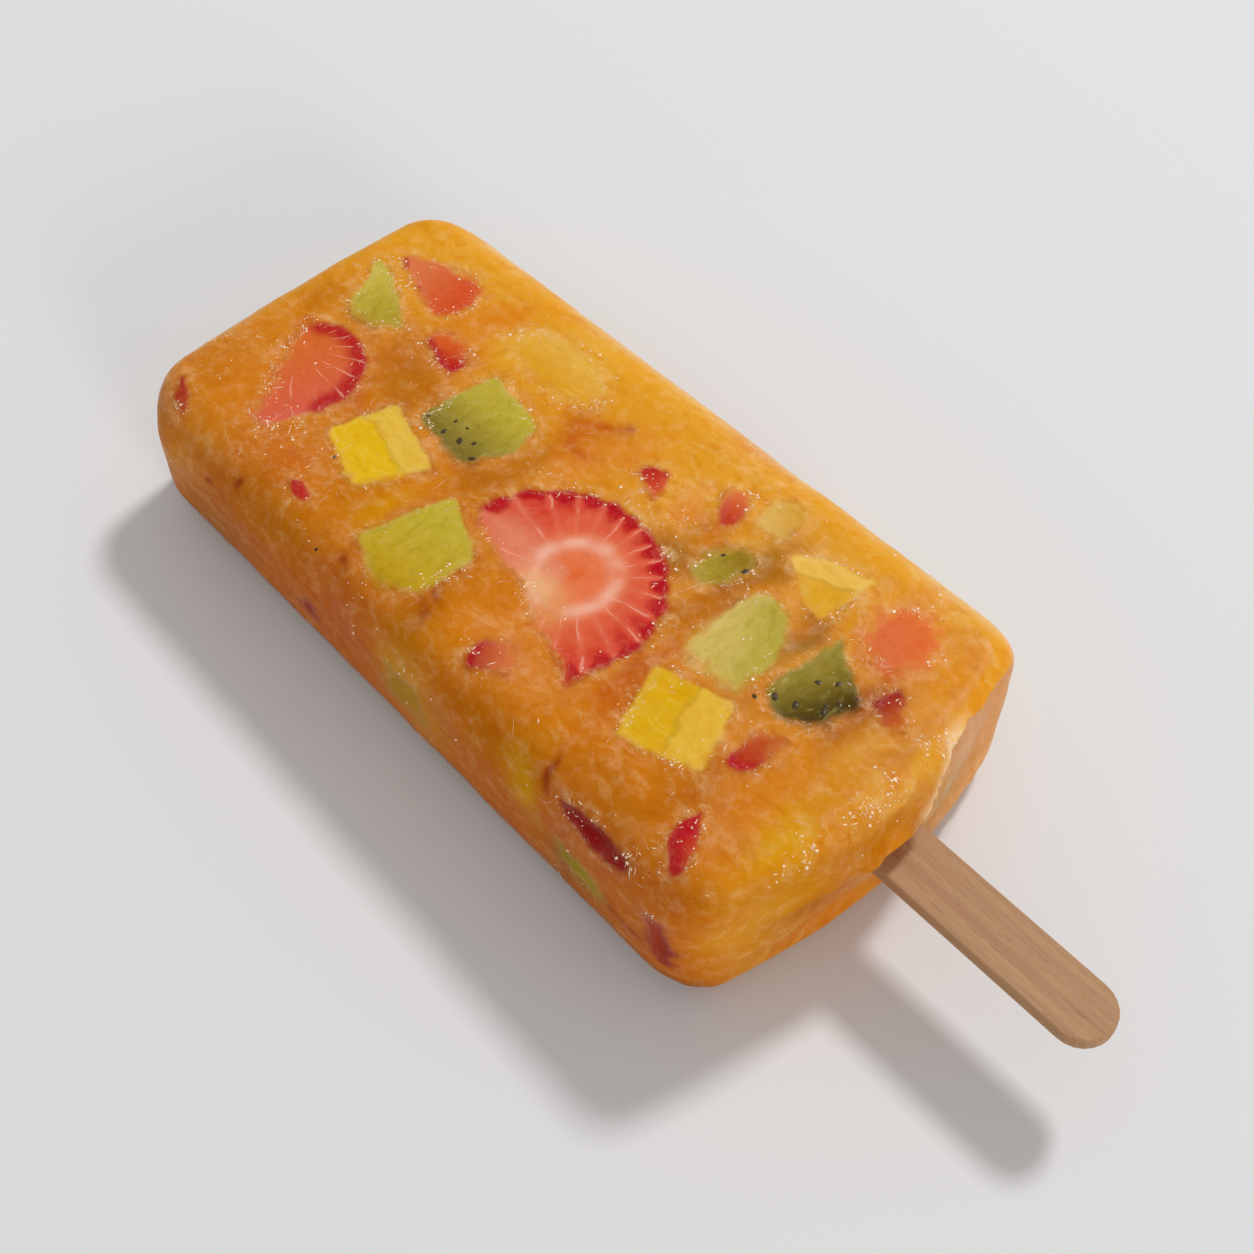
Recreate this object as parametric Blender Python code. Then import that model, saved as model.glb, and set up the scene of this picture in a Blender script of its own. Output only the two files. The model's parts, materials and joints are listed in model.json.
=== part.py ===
"""A fruit ice lolly: a drafted block of amber ice with cut fruit frozen into its surface, on a flat stick.

The lolly lies on its back. +Z is up, the stick points to -Y and the tip to +Y, and the origin is under the
middle of the whole lolly, on the surface that it lies on. Sizes are in millimetres and MM makes them metres.
The block has a frame of its own, which an empty carries: x across, y from the corners of the stick end, and
z up from the resting face. Every piece of fruit is placed in that frame, and its face is flush with the ice.
"""

from math import atan, cos, hypot, pi, radians, sin
from typing import NamedTuple

import bmesh
import bpy
from mathutils import Matrix, Vector

MM = 0.001
GAP = 0.3  # clearance between the ice and what is frozen into it

# The block of ice. The mould opens towards the stick, so the block is widest and thickest there.
BLOCK_LENGTH = 105.0  # between the corners of its two ends
STICK_END_WIDTH = 54.5
TIP_WIDTH = 53.4
STICK_END_THICKNESS = 23.6
TIP_THICKNESS = 20.0
STICK_END_CORNER = 7.4  # corner radii, seen from above
TIP_CORNER = 8.8
STICK_END_CROWN = 2.9  # how far each end bows out, seen from above
TIP_CROWN = 0.6
TOP_SIDE_EDGE = 7.1  # rounding of the long edges and of the ends' edges
TOP_END_EDGE = 3.0
BOTTOM_SIDE_EDGE = 6.7
BOTTOM_END_EDGE = 4.2
DOME = 3.1  # the open end froze outwards round the stick
CROWN_STEPS = 6
CORNER_STEPS = 6
EDGE_STEPS = 5
WALL_STEPS = 3

# The stick.
STICK_LENGTH = 93.0
STICK_WIDTH = 7.7
STICK_THICKNESS = 2.0
STICK_EDGE = 0.25
STICK_HEIGHT = 12.9  # of its middle, above the resting face
STICK_OUT = 34.2  # beyond the corners of the stick end
END_ARC_STEPS = 12

TOTAL_LENGTH = STICK_OUT + BLOCK_LENGTH + TIP_CROWN
BLOCK_START = STICK_OUT - TOTAL_LENGTH / 2  # where the block's own y begins

# Depths of the fruit under the ice's surface.
CUBE_DEPTH = 7.0
SLICE_DEPTH = 4.0
CHIP_DEPTH = 2.6
DEEP_END = 0.86  # a piece narrows to this share of its outline at its deep end
PROUD = 3.0  # how far a cutter stands out of the ice

NEAR_SIDE = -90.0  # tilts from straight up, in degrees
NEAR_EDGE = -60.0
FAR_SIDE = 90.0


class Fruit(NamedTuple):
    """One piece of fruit: the corners of its face lie about its centre, in a frame that looks out of the ice."""

    name: str
    kind: str
    centre: tuple  # in the block's frame; a height of None is the top face's
    corners: tuple
    depth: float = CHIP_DEPTH
    tilt: float = 0.0  # from straight up, towards +X
    turn: float = 0.0  # about Z, after the tilt
    arc: tuple = ()  # radii and first and last angle of a round rim that comes before the corners
    rounding: float = 0.7


FRUIT = (
    # Strawberry slices, cut face up: a round rim and a torn inner side.
    Fruit("strawberry_half_slice", "strawberry", (-8.0, 44.2, None),
          ((-9.2, -13.4), (-7.0, -9.8), (-5.8, -4.0), (-2.8, 2.0), (-2.0, 8.0), (-0.5, 12.9)),
          SLICE_DEPTH, arc=(14.3, 15.2, 86, -118)),
    Fruit("strawberry_tip_slice", "strawberry", (-8.4, 91.6, None),
          ((-7.6, -6.4), (-10.2, -4.4), (-9.8, -2.8)), SLICE_DEPTH, arc=(8.9, 8.6, 50, -125)),
    # Strawberry pieces on the top face, from the tip to the stick.
    Fruit("strawberry_corner_piece", "strawberry", (14.0, 91.5, None),
          ((-1.4, 6.0), (-0.5, 7.5), (0.5, 7.0), (2.0, 4.0), (3.2, -0.5), (4.0, -2.4), (3.6, -4.8),
           (1.0, -6.6), (-2.4, -6.2), (-4.5, -4.2), (-3.8, -1.6), (-2.9, 1.6)), SLICE_DEPTH),
    Fruit("strawberry_corner_sliver", "strawberry", (-22.2, 98.4, None),
          ((2.1, 2.7), (-0.5, 1.0), (-2.1, -2.3), (-0.7, -2.2), (1.3, 0.3)), rounding=0.3),
    Fruit("strawberry_crescent", "strawberry", (6.8, 80.8, None),
          ((-0.8, 3.6), (0.6, 3.9), (2.2, 2.2), (2.2, -0.8), (0.2, -3.2), (-1.8, -4.0), (-2.9, -2.4),
           (-2.0, 0.8))),
    Fruit("strawberry_chip_left", "strawberry", (-21.0, 75.2, None),
          ((0.3, 2.1), (1.3, 0.6), (0.4, -1.9), (-1.0, -1.2), (-0.8, 0.9)), rounding=0.4),
    Fruit("strawberry_chip_middle", "strawberry", (-20.2, 40.3, None),
          ((-2.8, 1.3), (-2.0, 2.5), (1.7, 2.6), (2.8, -0.3), (1.6, -3.3), (-1.0, -2.4))),
    Fruit("strawberry_chip_far", "strawberry", (11.0, 46.6, None),
          ((-0.6, 2.8), (0.8, 2.6), (2.6, 0.2), (1.4, -0.9), (-1.4, -1.7), (-2.4, -2.1), (-1.6, 0.2)),
          rounding=0.4),
    Fruit("strawberry_chip_peach", "strawberry", (14.6, 37.3, None),
          ((0.6, 2.4), (2.4, 2.4), (3.3, 0.2), (1.8, -1.2), (-1.4, -2.2), (-2.8, -1.1), (-1.6, 0.9)),
          rounding=0.4),
    Fruit("strawberry_soft_piece", "strawberry", (14.6, 10.8, None),
          ((-4.8, -1.6), (-3.4, 2.8), (0.2, 4.4), (4.2, 2.8), (5.0, -0.8), (3.2, -4.6), (-1.8, -5.0)),
          SLICE_DEPTH, rounding=1.2),
    Fruit("strawberry_teardrop", "strawberry", (-7.8, 11.0, None),
          ((-3.8, 1.3), (-2.2, 1.9), (2.8, 1.4), (3.9, -1.1), (-1.0, -1.8), (-3.4, -0.4))),
    Fruit("strawberry_crimson_piece", "strawberry", (-20.4, 7.9, None),
          ((-4.4, -1.6), (-3.4, 0.0), (-1.4, 2.4), (0.9, 2.5), (4.2, 1.9), (1.2, -0.2), (-2.4, -2.0),
           (-3.9, -2.5))),
    Fruit("strawberry_chip_stick", "strawberry", (7.0, 4.4, None),
          ((-0.8, 2.6), (3.0, 1.8), (1.8, -0.6), (-1.4, -2.7), (-2.8, -0.4)), rounding=0.4),
    # Kiwi.
    Fruit("kiwi_triangle", "kiwi", (6.6, 94.2, None),
          ((-4.7, 1.4), (-2.8, 2.9), (1.0, 4.6), (3.7, 6.4), (4.6, 6.4), (4.4, 3.8), (-0.2, -4.8),
           (-1.8, -6.2), (-4.6, -2.0)), CUBE_DEPTH),
    Fruit("kiwi_seeded_chunk", "kiwi", (2.4, 68.5, None),
          ((-5.6, 6.6), (6.2, 5.3), (4.4, -5.4), (-0.2, -7.0), (-6.6, -4.3), (-6.6, 0.0)), CUBE_DEPTH,
          rounding=1.0),
    Fruit("kiwi_left_chunk", "kiwi", (-16.5, 58.5, None),
          ((-3.8, 6.7), (8.8, 3.3), (4.5, -6.1), (-3.3, -5.9), (-7.1, -1.0)), CUBE_DEPTH, rounding=1.0),
    Fruit("kiwi_strip", "kiwi", (7.4, 31.8, None),
          ((-4.0, 0.2), (-2.6, 2.7), (1.6, 2.7), (4.8, -0.6), (3.4, -3.2), (-1.8, -2.2))),
    Fruit("kiwi_pale_chunk", "kiwi", (2.4, 22.3, None),
          ((-6.9, 1.6), (-5.4, 4.8), (4.2, 4.6), (7.0, 2.4), (5.6, -1.2), (-0.2, -4.8), (-6.0, -4.2)),
          CUBE_DEPTH, rounding=1.2),
    Fruit("kiwi_wedge", "kiwi", (2.2, 12.4, None),
          ((-3.4, 4.2), (8.2, 2.8), (2.8, -5.4), (-2.9, -3.6), (-5.2, 0.8)), CUBE_DEPTH),
    # Mango and peach.
    Fruit("mango_cube_tip", "mango", (-9.3, 74.2, None),
          ((-3.4, 7.0), (5.9, 4.2), (2.2, -7.9), (-6.9, -3.0)), CUBE_DEPTH, rounding=1.0),
    Fruit("mango_far_chunk", "mango", (15.2, 69.5, None),
          ((-2.0, 8.5), (2.6, 6.0), (4.4, -2.5), (1.4, -7.9), (-2.6, -8.5), (-3.8, -0.5)),
          CUBE_DEPTH, rounding=1.0),
    Fruit("mango_pale_chunk", "mango", (17.8, 32.2, None),
          ((-3.2, 1.4), (0.8, 2.8), (3.4, 0.4), (1.8, -2.4), (-2.8, -2.6))),
    Fruit("mango_wedge", "mango", (14.4, 21.6, None),
          ((0.2, 6.3), (3.1, 2.1), (4.5, -3.8), (-4.4, -3.1), (-3.8, 0.0)), CUBE_DEPTH),
    Fruit("mango_cube_stick", "mango", (-10.7, 20.2, None),
          ((3.4, 7.0), (6.1, -3.6), (-3.0, -7.2), (-6.8, 3.2)), CUBE_DEPTH, rounding=1.0),
    Fruit("peach_chunk", "peach", (11.6, 41.0, None),
          ((-2.8, 1.8), (1.4, 2.8), (4.2, 0.4), (1.4, -0.8), (-0.8, -3.2), (-3.4, -1.2))),
    # The near long side and its upper edge.
    Fruit("strawberry_edge_strip", "strawberry", (-25.9, 16.8, 19.7),
          ((0.3, 6.2), (1.2, 2.8), (1.3, 0.0), (0.6, -6.4), (-1.0, -5.8), (-1.6, -2.2), (-1.2, 1.8),
           (-0.5, 5.2)), tilt=NEAR_EDGE),
    Fruit("strawberry_side_piece", "strawberry", (-27.0, 5.0, 11.5),
          ((5.5, 2.4), (5.9, 0.0), (0.5, -1.6), (-4.7, -1.4), (-3.5, 0.6), (0.5, 2.2)), tilt=NEAR_SIDE),
    Fruit("strawberry_side_chip", "strawberry", (-27.0, 67.6, 9.8),
          ((-1.2, 2.4), (1.4, 1.4), (1.9, -1.0), (-1.2, -2.2)), tilt=NEAR_SIDE, rounding=0.4),
    Fruit("kiwi_side_piece", "kiwi", (-27.2, 18.3, 11.5),
          ((2.5, 4.0), (-0.9, 3.1), (-2.5, -3.3), (-0.9, -5.1), (2.3, -1.1)), tilt=NEAR_SIDE),
    Fruit("kiwi_side_chunk", "kiwi", (-27.1, 48.5, 12.5),
          ((-3.1, 4.5), (2.5, 3.0), (3.3, -1.5), (-1.3, -4.3), (-3.3, -3.5)), tilt=NEAR_SIDE),
    # The far long side and the tip's end.
    Fruit("kiwi_far_side", "kiwi", (27.2, 30.0, 11.0),
          ((-4.2, 4.6), (3.6, 4.0), (4.4, -2.6), (-2.8, -4.8)), SLICE_DEPTH, tilt=FAR_SIDE),
    Fruit("strawberry_far_side", "strawberry", (27.0, 60.0, 11.5),
          ((-3.9, -4.6), (-3.2, 2.0)), SLICE_DEPTH, tilt=FAR_SIDE, arc=(4.8, 7.2, 120, -110)),
    Fruit("mango_far_side", "mango", (26.8, 87.0, 10.5),
          ((-3.6, 4.0), (3.4, 4.6), (3.0, -3.6), (-4.0, -3.0)), SLICE_DEPTH, tilt=FAR_SIDE),
    Fruit("strawberry_tip_end", "strawberry", (-7.0, 105.4, 10.5),
          ((-3.0, 5.2), (2.4, 4.2), (3.8, -0.6), (0.8, -5.4), (-3.2, -3.0)), tilt=90.0, turn=90.0),
)


def block_thickness(y):
    return STICK_END_THICKNESS + (TIP_THICKNESS - STICK_END_THICKNESS) * y / BLOCK_LENGTH


def half_end(width, corner, crown):
    """Half of an end that faces -Y, from its middle round its corner: rows of x, y and the outward normal."""
    lean = atan(2 * crown / (width / 2 - corner))
    bow = width / 2 - corner * (1 - sin(lean))
    rows = []
    for step in range(CROWN_STEPS):
        x = bow * step / CROWN_STEPS
        slope = 2 * crown * x / bow**2
        rows.append((x, -crown * (1 - (x / bow) ** 2), slope / hypot(1, slope), -1 / hypot(1, slope)))
    for step in range(CORNER_STEPS + 1):
        angle = lean + (pi / 2 - lean) * step / CORNER_STEPS
        x = width / 2 - corner * (1 - sin(angle))
        rows.append((x, corner * (cos(lean) - cos(angle)), sin(angle), -cos(angle)))
    return rows


def block_outline():
    """The block's outline from above, counter-clockwise from the middle of the stick end."""
    stick_half = half_end(STICK_END_WIDTH, STICK_END_CORNER, STICK_END_CROWN)
    tip_half = half_end(TIP_WIDTH, TIP_CORNER, TIP_CROWN)
    far = stick_half + [(x, BLOCK_LENGTH - y, nx, -ny) for x, y, nx, ny in reversed(tip_half)]
    near = [(-x, y, -nx, ny) for x, y, nx, ny in reversed(far[1:-1])]
    return far + near


def dome(x, z, facing):
    """How far the stick end stands out at x and z, where facing is the outline's outward y there."""
    across = cos(pi / 2 * min(1, abs(x) / (STICK_END_WIDTH / 2)))
    up = cos(pi / 2 * min(1, abs(z - STICK_HEIGHT) / (STICK_END_THICKNESS / 2)))
    return DOME * across**2 * up**2 * max(0, -facing) ** 2


def block_point(row, bottom, wall, top):
    """A point of the block's surface: bottom and top run from 0 to 1 round the edges, wall between them."""
    x, y, nx, ny = row
    end_share = ny**2
    bottom_radius = BOTTOM_SIDE_EDGE + (BOTTOM_END_EDGE - BOTTOM_SIDE_EDGE) * end_share
    top_radius = TOP_SIDE_EDGE + (TOP_END_EDGE - TOP_SIDE_EDGE) * end_share
    inset = bottom_radius * (1 - sin(pi / 2 * bottom)) + top_radius * (1 - cos(pi / 2 * top))
    x, y = x - nx * inset, y - ny * inset
    wall_height = block_thickness(y) - bottom_radius - top_radius
    z = bottom_radius * (1 - cos(pi / 2 * bottom)) + wall_height * wall + top_radius * sin(pi / 2 * top)
    return Vector((x, y - dome(x, z, ny), z))


def add_object(name, mesh, collection, parent=None):
    made = bpy.data.objects.new(name, mesh)
    made.parent = parent
    collection.objects.link(made)
    return made


def mesh_of(bm, name):
    """The finished mesh, in metres."""
    bmesh.ops.recalc_face_normals(bm, faces=bm.faces)
    bmesh.ops.scale(bm, vec=(MM, MM, MM), verts=bm.verts)
    mesh = bpy.data.meshes.new(name)
    bm.to_mesh(mesh)
    bm.free()
    return mesh


def loft(bm, loops):
    """Closes a stack of loops of points into one body."""
    rings = [[bm.verts.new(point) for point in loop] for loop in loops]
    for low, high in zip(rings, rings[1:]):
        for i in range(len(low)):
            j = (i + 1) % len(low)
            bm.faces.new((low[i], low[j], high[j], high[i]))
    bm.faces.new(reversed(rings[0]))
    bm.faces.new(rings[-1])


def block_mesh(name):
    outline = block_outline()
    levels = [(step / EDGE_STEPS, 0, 0) for step in range(EDGE_STEPS + 1)]
    levels += [(1, step / WALL_STEPS, 0) for step in range(1, WALL_STEPS)]
    levels += [(1, 1, step / EDGE_STEPS) for step in range(EDGE_STEPS + 1)]
    bm = bmesh.new()
    loft(bm, [[block_point(row, *level) for row in outline] for level in levels])
    return mesh_of(bm, name)


def face_outline(fruit):
    """The outline of a piece's face about its centre, with its corners rounded."""
    if fruit.arc:
        radius_u, radius_v, first, last = fruit.arc
        steps = max(6, round(abs(last - first) / 15))
        angles = [radians(first + (last - first) * step / steps) for step in range(steps + 1)]
        rim = [Vector((radius_u * cos(a), radius_v * sin(a))) for a in angles]
    else:
        rim = []
    corners = [Vector(corner) for corner in fruit.corners]
    points = list(rim)
    ring = rim[-1:] + corners + (rim[:1] or corners[:1])
    before = ring[0] if rim else corners[-1]
    for i, corner in enumerate(corners):
        after = ring[i + 2] if rim else corners[(i + 1) % len(corners)]
        back, ahead = before - corner, after - corner
        cut = min(fruit.rounding, back.length / 2.2, ahead.length / 2.2)
        start, end = corner + back.normalized() * cut, corner + ahead.normalized() * cut
        points += [start, (start + end + 2 * corner) / 4, end]
        before = corner
    return points


def grown(points, by):
    """The outline moved outwards by a distance, each point along the normal between its neighbours."""
    turning = sum(p.x * q.y - q.x * p.y for p, q in zip(points, points[1:] + points[:1]))
    side = 1 if turning > 0 else -1
    moved = []
    for i, point in enumerate(points):
        along = (point - points[i - 1]).normalized() + (points[(i + 1) % len(points)] - point).normalized()
        along.normalize()
        moved.append(point + side * by * Vector((along.y, -along.x)))
    return moved


def fruit_frame(fruit):
    """The frame of a piece's face in the block's frame, its Z looking out of the ice."""
    x, y, z = fruit.centre
    if z is None:
        z = block_thickness(y)
    turned = Matrix.Rotation(radians(fruit.turn), 4, "Z") @ Matrix.Rotation(radians(fruit.tilt), 4, "Y")
    return Matrix.Translation((x, y, z)) @ turned


def fruit_mesh(fruit, name, margin=0.0):
    """A piece as a solid that stands out of the ice, and with a margin the pocket that it sits in."""
    face = grown(face_outline(fruit), margin) if margin else face_outline(fruit)
    frame = fruit_frame(fruit)
    deep = [(point.x * DEEP_END, point.y * DEEP_END, -fruit.depth - margin) for point in face]
    top = [(point.x, point.y, PROUD + margin) for point in face]
    bm = bmesh.new()
    loft(bm, [[frame @ Vector(point) for point in loop] for loop in (deep, top)])
    return mesh_of(bm, name)


def add_boolean(target, operation, cutter=None, cutters=None):
    cut = target.modifiers.new(operation.title(), "BOOLEAN")
    cut.operation = operation
    cut.solver = "EXACT"
    if cutters:
        cut.operand_type = "COLLECTION"
        cut.collection = cutters
    else:
        cut.object = cutter


def hide(helper):
    helper.hide_render = True
    helper.display_type = "WIRE"


def material(name, colour, roughness):
    made = bpy.data.materials.new(name)
    made.use_nodes = True
    shader = made.node_tree.nodes["Principled BSDF"]
    shader.inputs["Base Color"].default_value = (*colour, 1)
    shader.inputs["Metallic"].default_value = 0
    shader.inputs["Roughness"].default_value = roughness
    made.diffuse_color = (*colour, 1)
    return made


def add_stick(collection, parent, wood):
    """The stick: a flat outline with two round ends, extruded to its thickness with softened edges."""
    half = STICK_WIDTH / 2
    tip, inner = -STICK_OUT + half, STICK_LENGTH - STICK_OUT - half
    points = []
    for centre, first in ((tip, pi), (inner, 0.0)):
        for step in range(END_ARC_STEPS + 1):
            angle = first + pi * step / END_ARC_STEPS
            points.append((half * cos(angle), centre + half * sin(angle)))
    curve = bpy.data.curves.new("stick", "CURVE")
    curve.dimensions = "2D"
    curve.fill_mode = "BOTH"
    curve.extrude = (STICK_THICKNESS / 2 - STICK_EDGE) * MM
    curve.bevel_depth = STICK_EDGE * MM
    curve.bevel_resolution = 1
    curve.offset = -STICK_EDGE * MM
    spline = curve.splines.new("POLY")
    spline.points.add(len(points) - 1)
    for point, (x, y) in zip(spline.points, points):
        point.co = (x * MM, y * MM, 0, 1)
    spline.use_cyclic_u = True
    curve.materials.append(wood)
    stick = add_object("stick", curve, collection, parent)
    stick.location = (0, 0, STICK_HEIGHT * MM)


def add_slot(cutters, parent):
    """The slot in the ice for the stick, a gap wider on every side and open at the stick end."""
    length = STICK_LENGTH + GAP
    size = (STICK_WIDTH + 2 * GAP, length, STICK_THICKNESS + 2 * GAP)
    bm = bmesh.new()
    bmesh.ops.create_cube(bm, size=1, matrix=Matrix.Diagonal((*size, 1)))
    slot = add_object("stick_slot", mesh_of(bm, "stick_slot"), cutters, parent)
    slot.location = (0, (length / 2 - STICK_OUT) * MM, STICK_HEIGHT * MM)
    hide(slot)


def main():
    for old in list(bpy.data.objects):
        bpy.data.objects.remove(old)
    scene = bpy.context.scene
    lolly = bpy.data.collections.new("ice_lolly")
    cutters = bpy.data.collections.new("pockets")
    helpers = bpy.data.collections.new("blanks")
    for collection in (lolly, cutters, helpers):
        scene.collection.children.link(collection)

    materials = {
        "ice": material("amber_ice", (0.75, 0.33, 0.03), 0.25),
        "stick": material("birch", (0.52, 0.30, 0.17), 0.7),
        "strawberry": material("strawberry", (0.65, 0.04, 0.02), 0.35),
        "kiwi": material("kiwi", (0.42, 0.40, 0.04), 0.35),
        "mango": material("mango", (0.80, 0.52, 0.02), 0.35),
        "peach": material("peach", (0.80, 0.32, 0.05), 0.35),
    }

    block_frame = add_object("block_frame", None, lolly)
    block_frame.location = (0, BLOCK_START * MM, 0)

    blank = add_object("ice_blank", block_mesh("ice_blank"), helpers, block_frame)
    hide(blank)
    for fruit in FRUIT:
        pocket_name = fruit.name + "_pocket"
        pocket = add_object(pocket_name, fruit_mesh(fruit, pocket_name, GAP), cutters, block_frame)
        hide(pocket)
        piece = add_object(fruit.name, fruit_mesh(fruit, fruit.name), lolly, block_frame)
        piece.data.materials.append(materials[fruit.kind])
        add_boolean(piece, "INTERSECT", cutter=blank)

    add_slot(cutters, block_frame)
    ice = add_object("ice_block", block_mesh("ice_block"), lolly, block_frame)
    ice.data.materials.append(materials["ice"])
    add_boolean(ice, "DIFFERENCE", cutters=cutters)
    add_stick(lolly, block_frame, materials["stick"])


main()
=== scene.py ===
"""The looks of the fruit ice lolly: the dense block with its cut fruit, the seeds, the frost and the wooden stick.

Places are in millimetres in the block's own frame: x across, y from the corners of the stick end towards the
tip, z up from the surface that the lolly lies on. MM and block_start turn them into the frame's metres.
"""

import json
from math import atan, cos, hypot, pi, radians, sin
from typing import NamedTuple

import bmesh
import bpy
import numpy as np
from mathutils import Matrix, Vector, noise
from mathutils.bvhtree import BVHTree
from mathutils.geometry import delaunay_2d_cdt

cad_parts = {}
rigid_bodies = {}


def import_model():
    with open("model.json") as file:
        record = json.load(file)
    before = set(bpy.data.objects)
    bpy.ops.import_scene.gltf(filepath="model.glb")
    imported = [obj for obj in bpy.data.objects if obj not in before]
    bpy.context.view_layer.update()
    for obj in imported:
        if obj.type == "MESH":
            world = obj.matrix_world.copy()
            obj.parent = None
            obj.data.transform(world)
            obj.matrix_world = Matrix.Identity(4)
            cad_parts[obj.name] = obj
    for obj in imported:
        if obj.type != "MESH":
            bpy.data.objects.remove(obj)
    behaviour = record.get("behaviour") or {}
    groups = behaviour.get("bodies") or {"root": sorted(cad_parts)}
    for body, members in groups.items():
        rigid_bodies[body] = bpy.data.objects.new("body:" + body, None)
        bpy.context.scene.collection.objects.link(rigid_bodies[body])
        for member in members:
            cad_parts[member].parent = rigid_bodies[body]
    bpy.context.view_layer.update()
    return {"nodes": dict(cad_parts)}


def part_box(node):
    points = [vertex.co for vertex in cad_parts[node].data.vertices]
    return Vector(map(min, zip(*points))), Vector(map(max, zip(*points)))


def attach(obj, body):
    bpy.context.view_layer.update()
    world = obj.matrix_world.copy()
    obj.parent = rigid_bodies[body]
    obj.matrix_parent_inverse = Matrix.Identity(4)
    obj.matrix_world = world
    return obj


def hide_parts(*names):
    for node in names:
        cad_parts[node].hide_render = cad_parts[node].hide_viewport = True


MM = 0.001

# The block's shape, which repeats the solids' own formulas.
BLOCK_LENGTH = 105.0
STICK_END_WIDTH = 54.5
TIP_WIDTH = 53.4
STICK_END_THICKNESS = 23.6
TIP_THICKNESS = 20.0
STICK_END_CORNER = 7.4
TIP_CORNER = 8.8
STICK_END_CROWN = 2.9
TIP_CROWN = 0.6
TOP_SIDE_EDGE = 7.1
TOP_END_EDGE = 3.0
BOTTOM_SIDE_EDGE = 6.7
BOTTOM_END_EDGE = 4.2
DOME = 3.1
STICK_HEIGHT = 12.9

PITCH = 0.45  # between the points of the dense surface
CAP_PITCH_BELOW = 1.2  # the resting face is flat, so its points lie further apart

KINDS = ("strawberry", "kiwi", "mango", "peach")
UP = Vector((0, 0, 1))
NEAR = Vector((-1, 0, 0))
NEAR_EDGE = Vector((-sin(radians(60)), 0, cos(radians(60))))
FAR = Vector((1, 0, 0))
TIP = Vector((0, 1, 0))
FACING = {  # where a piece's cut face looks, if it isn't up
    "strawberry_edge_strip": NEAR_EDGE,
    "strawberry_side_piece": NEAR,
    "strawberry_side_chip": NEAR,
    "kiwi_side_piece": NEAR,
    "kiwi_side_chunk": NEAR,
    "kiwi_far_side": FAR,
    "strawberry_far_side": FAR,
    "mango_far_side": FAR,
    "strawberry_tip_end": TIP,
}
PROUD = 3.0  # how far a cutter stands out of the ice
DEEP_SHARE = 0.9  # a cutter narrows to this share of its outline at its deep end
RIM_PITCH = 0.4
RIM_WANDER = 0.35  # how far an outline wanders to either side, and over what length
RIM_WANDER_LENGTH = 1.6

# The half strawberry's face: rays run from its core to notches in its rim.
SLICE_CORE = Vector((-5.9, 42.6))
TIP_SLICE_CORE = Vector((-7.0, 95.5))
SLICE_RAYS = 23
SLICE_NOTCH = 0.3
RAY_SWAY = 0.9

CLEARNESS = (1.0, 0.94, 0.5)  # the share of each painted colour that is left where no veil lies over it
EDGE_SHADE = 0.22  # painted shade: how much darker the ice is in the thin line along a piece of fruit
EDGE_REACH = 1.8  # how far from a piece of fruit the ice is broken up
PATCH_DRIFT = 1.3  # how far the edges of a patch wander
PATCH_REACH = 6.0  # how far a patch of a side reaches into the block

SHARP_ANGLE = 40.0
STICK_CLEARANCE = 0.02
SEED = 11
SEED_SUNK = 0.19
SLIVER_STEPS = 7
SLIVER_SUNK = 0.05
FIBRES = 450
# the glints and beads are painted near white: painted highlights
GLINTS = 900
BEADS = 900

# The stage, in metres, but for the camera, which is in millimetres.
FLOOR_HALF = 1.5
FLOOR_GAP = 0.00005
FLOOR_COLOUR = (0.74, 0.74, 0.745)
ROOM_COLOUR = (1.0, 0.99, 0.98)
ROOM_LIGHT = 0.46
KEY = (101, 50, 2.0, 0.33, 22.2)  # azimuth, elevation, distance, size and power
FILL = (-12, 20, 2.0, 0.58, 11.5)
LENS = 55.15
CAMERA_AZIMUTH = -42.5
CAMERA_ELEVATION = 54.56
CAMERA_DISTANCE = 232.0
CAMERA_TARGET = (-0.50, 3.57, 10.40)

CREST_HEIGHT = 17.5  # of the crest over the stick, which climbs to the far side from where it bends
CREST_BEND = 3.6
CREST_RISE = 0.95
SUNK_FACE = 1.7
WAVE = 0.09  # the surface's soft waves, and the length of each
WAVE_LENGTH = 6.0
PIT = 0.035
PIT_LENGTH = 1.3

# Colours, as screen values from 0 to 255.
AMBER = (206, 124, 30)
GOLD = (226, 160, 52)
OLIVE_AMBER = (194, 118, 8)
BROWN = (174, 98, 16)
RUST = (188, 82, 22)
ORANGE = (216, 122, 26)
PEACH = (218, 132, 66)
ROSE_BROWN = (186, 106, 50)
# cream is also painted as highlight along the far edge and the stick end's top edge
CREAM = (228, 178, 100)
# a painted highlight colour for the far edge
FAR_EDGE_HIGHLIGHT = (240, 202, 150)
DARK_OLIVE = (138, 94, 20)
DEEP_RUST = (150, 62, 16)
YELLOW = (216, 162, 12)
PALE_GOLD = (230, 184, 72)
SHADE = (198, 104, 2)
FOOT_SHADE = (122, 66, 8)
END_PEACH = (222, 156, 104)
CREST_HIGHLIGHT = (242, 204, 156)
END_OLIVE = (150, 126, 36)
CRIMSON = (178, 14, 28)
DARK_RED = (138, 14, 14)
CORAL = (222, 98, 62)
LIME = (178, 164, 38)


class Patch(NamedTuple):
    """A soft patch of another colour in the ice; the cream ones along the far edge and the stick end's top edge are
    painted highlights.
    """

    place: tuple  # a third number is its height, and without one it lies in the top face
    size: tuple  # half its length and half its width
    turn: float  # from +X to its length, in degrees
    colour: tuple
    share: float = 0.7


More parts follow.
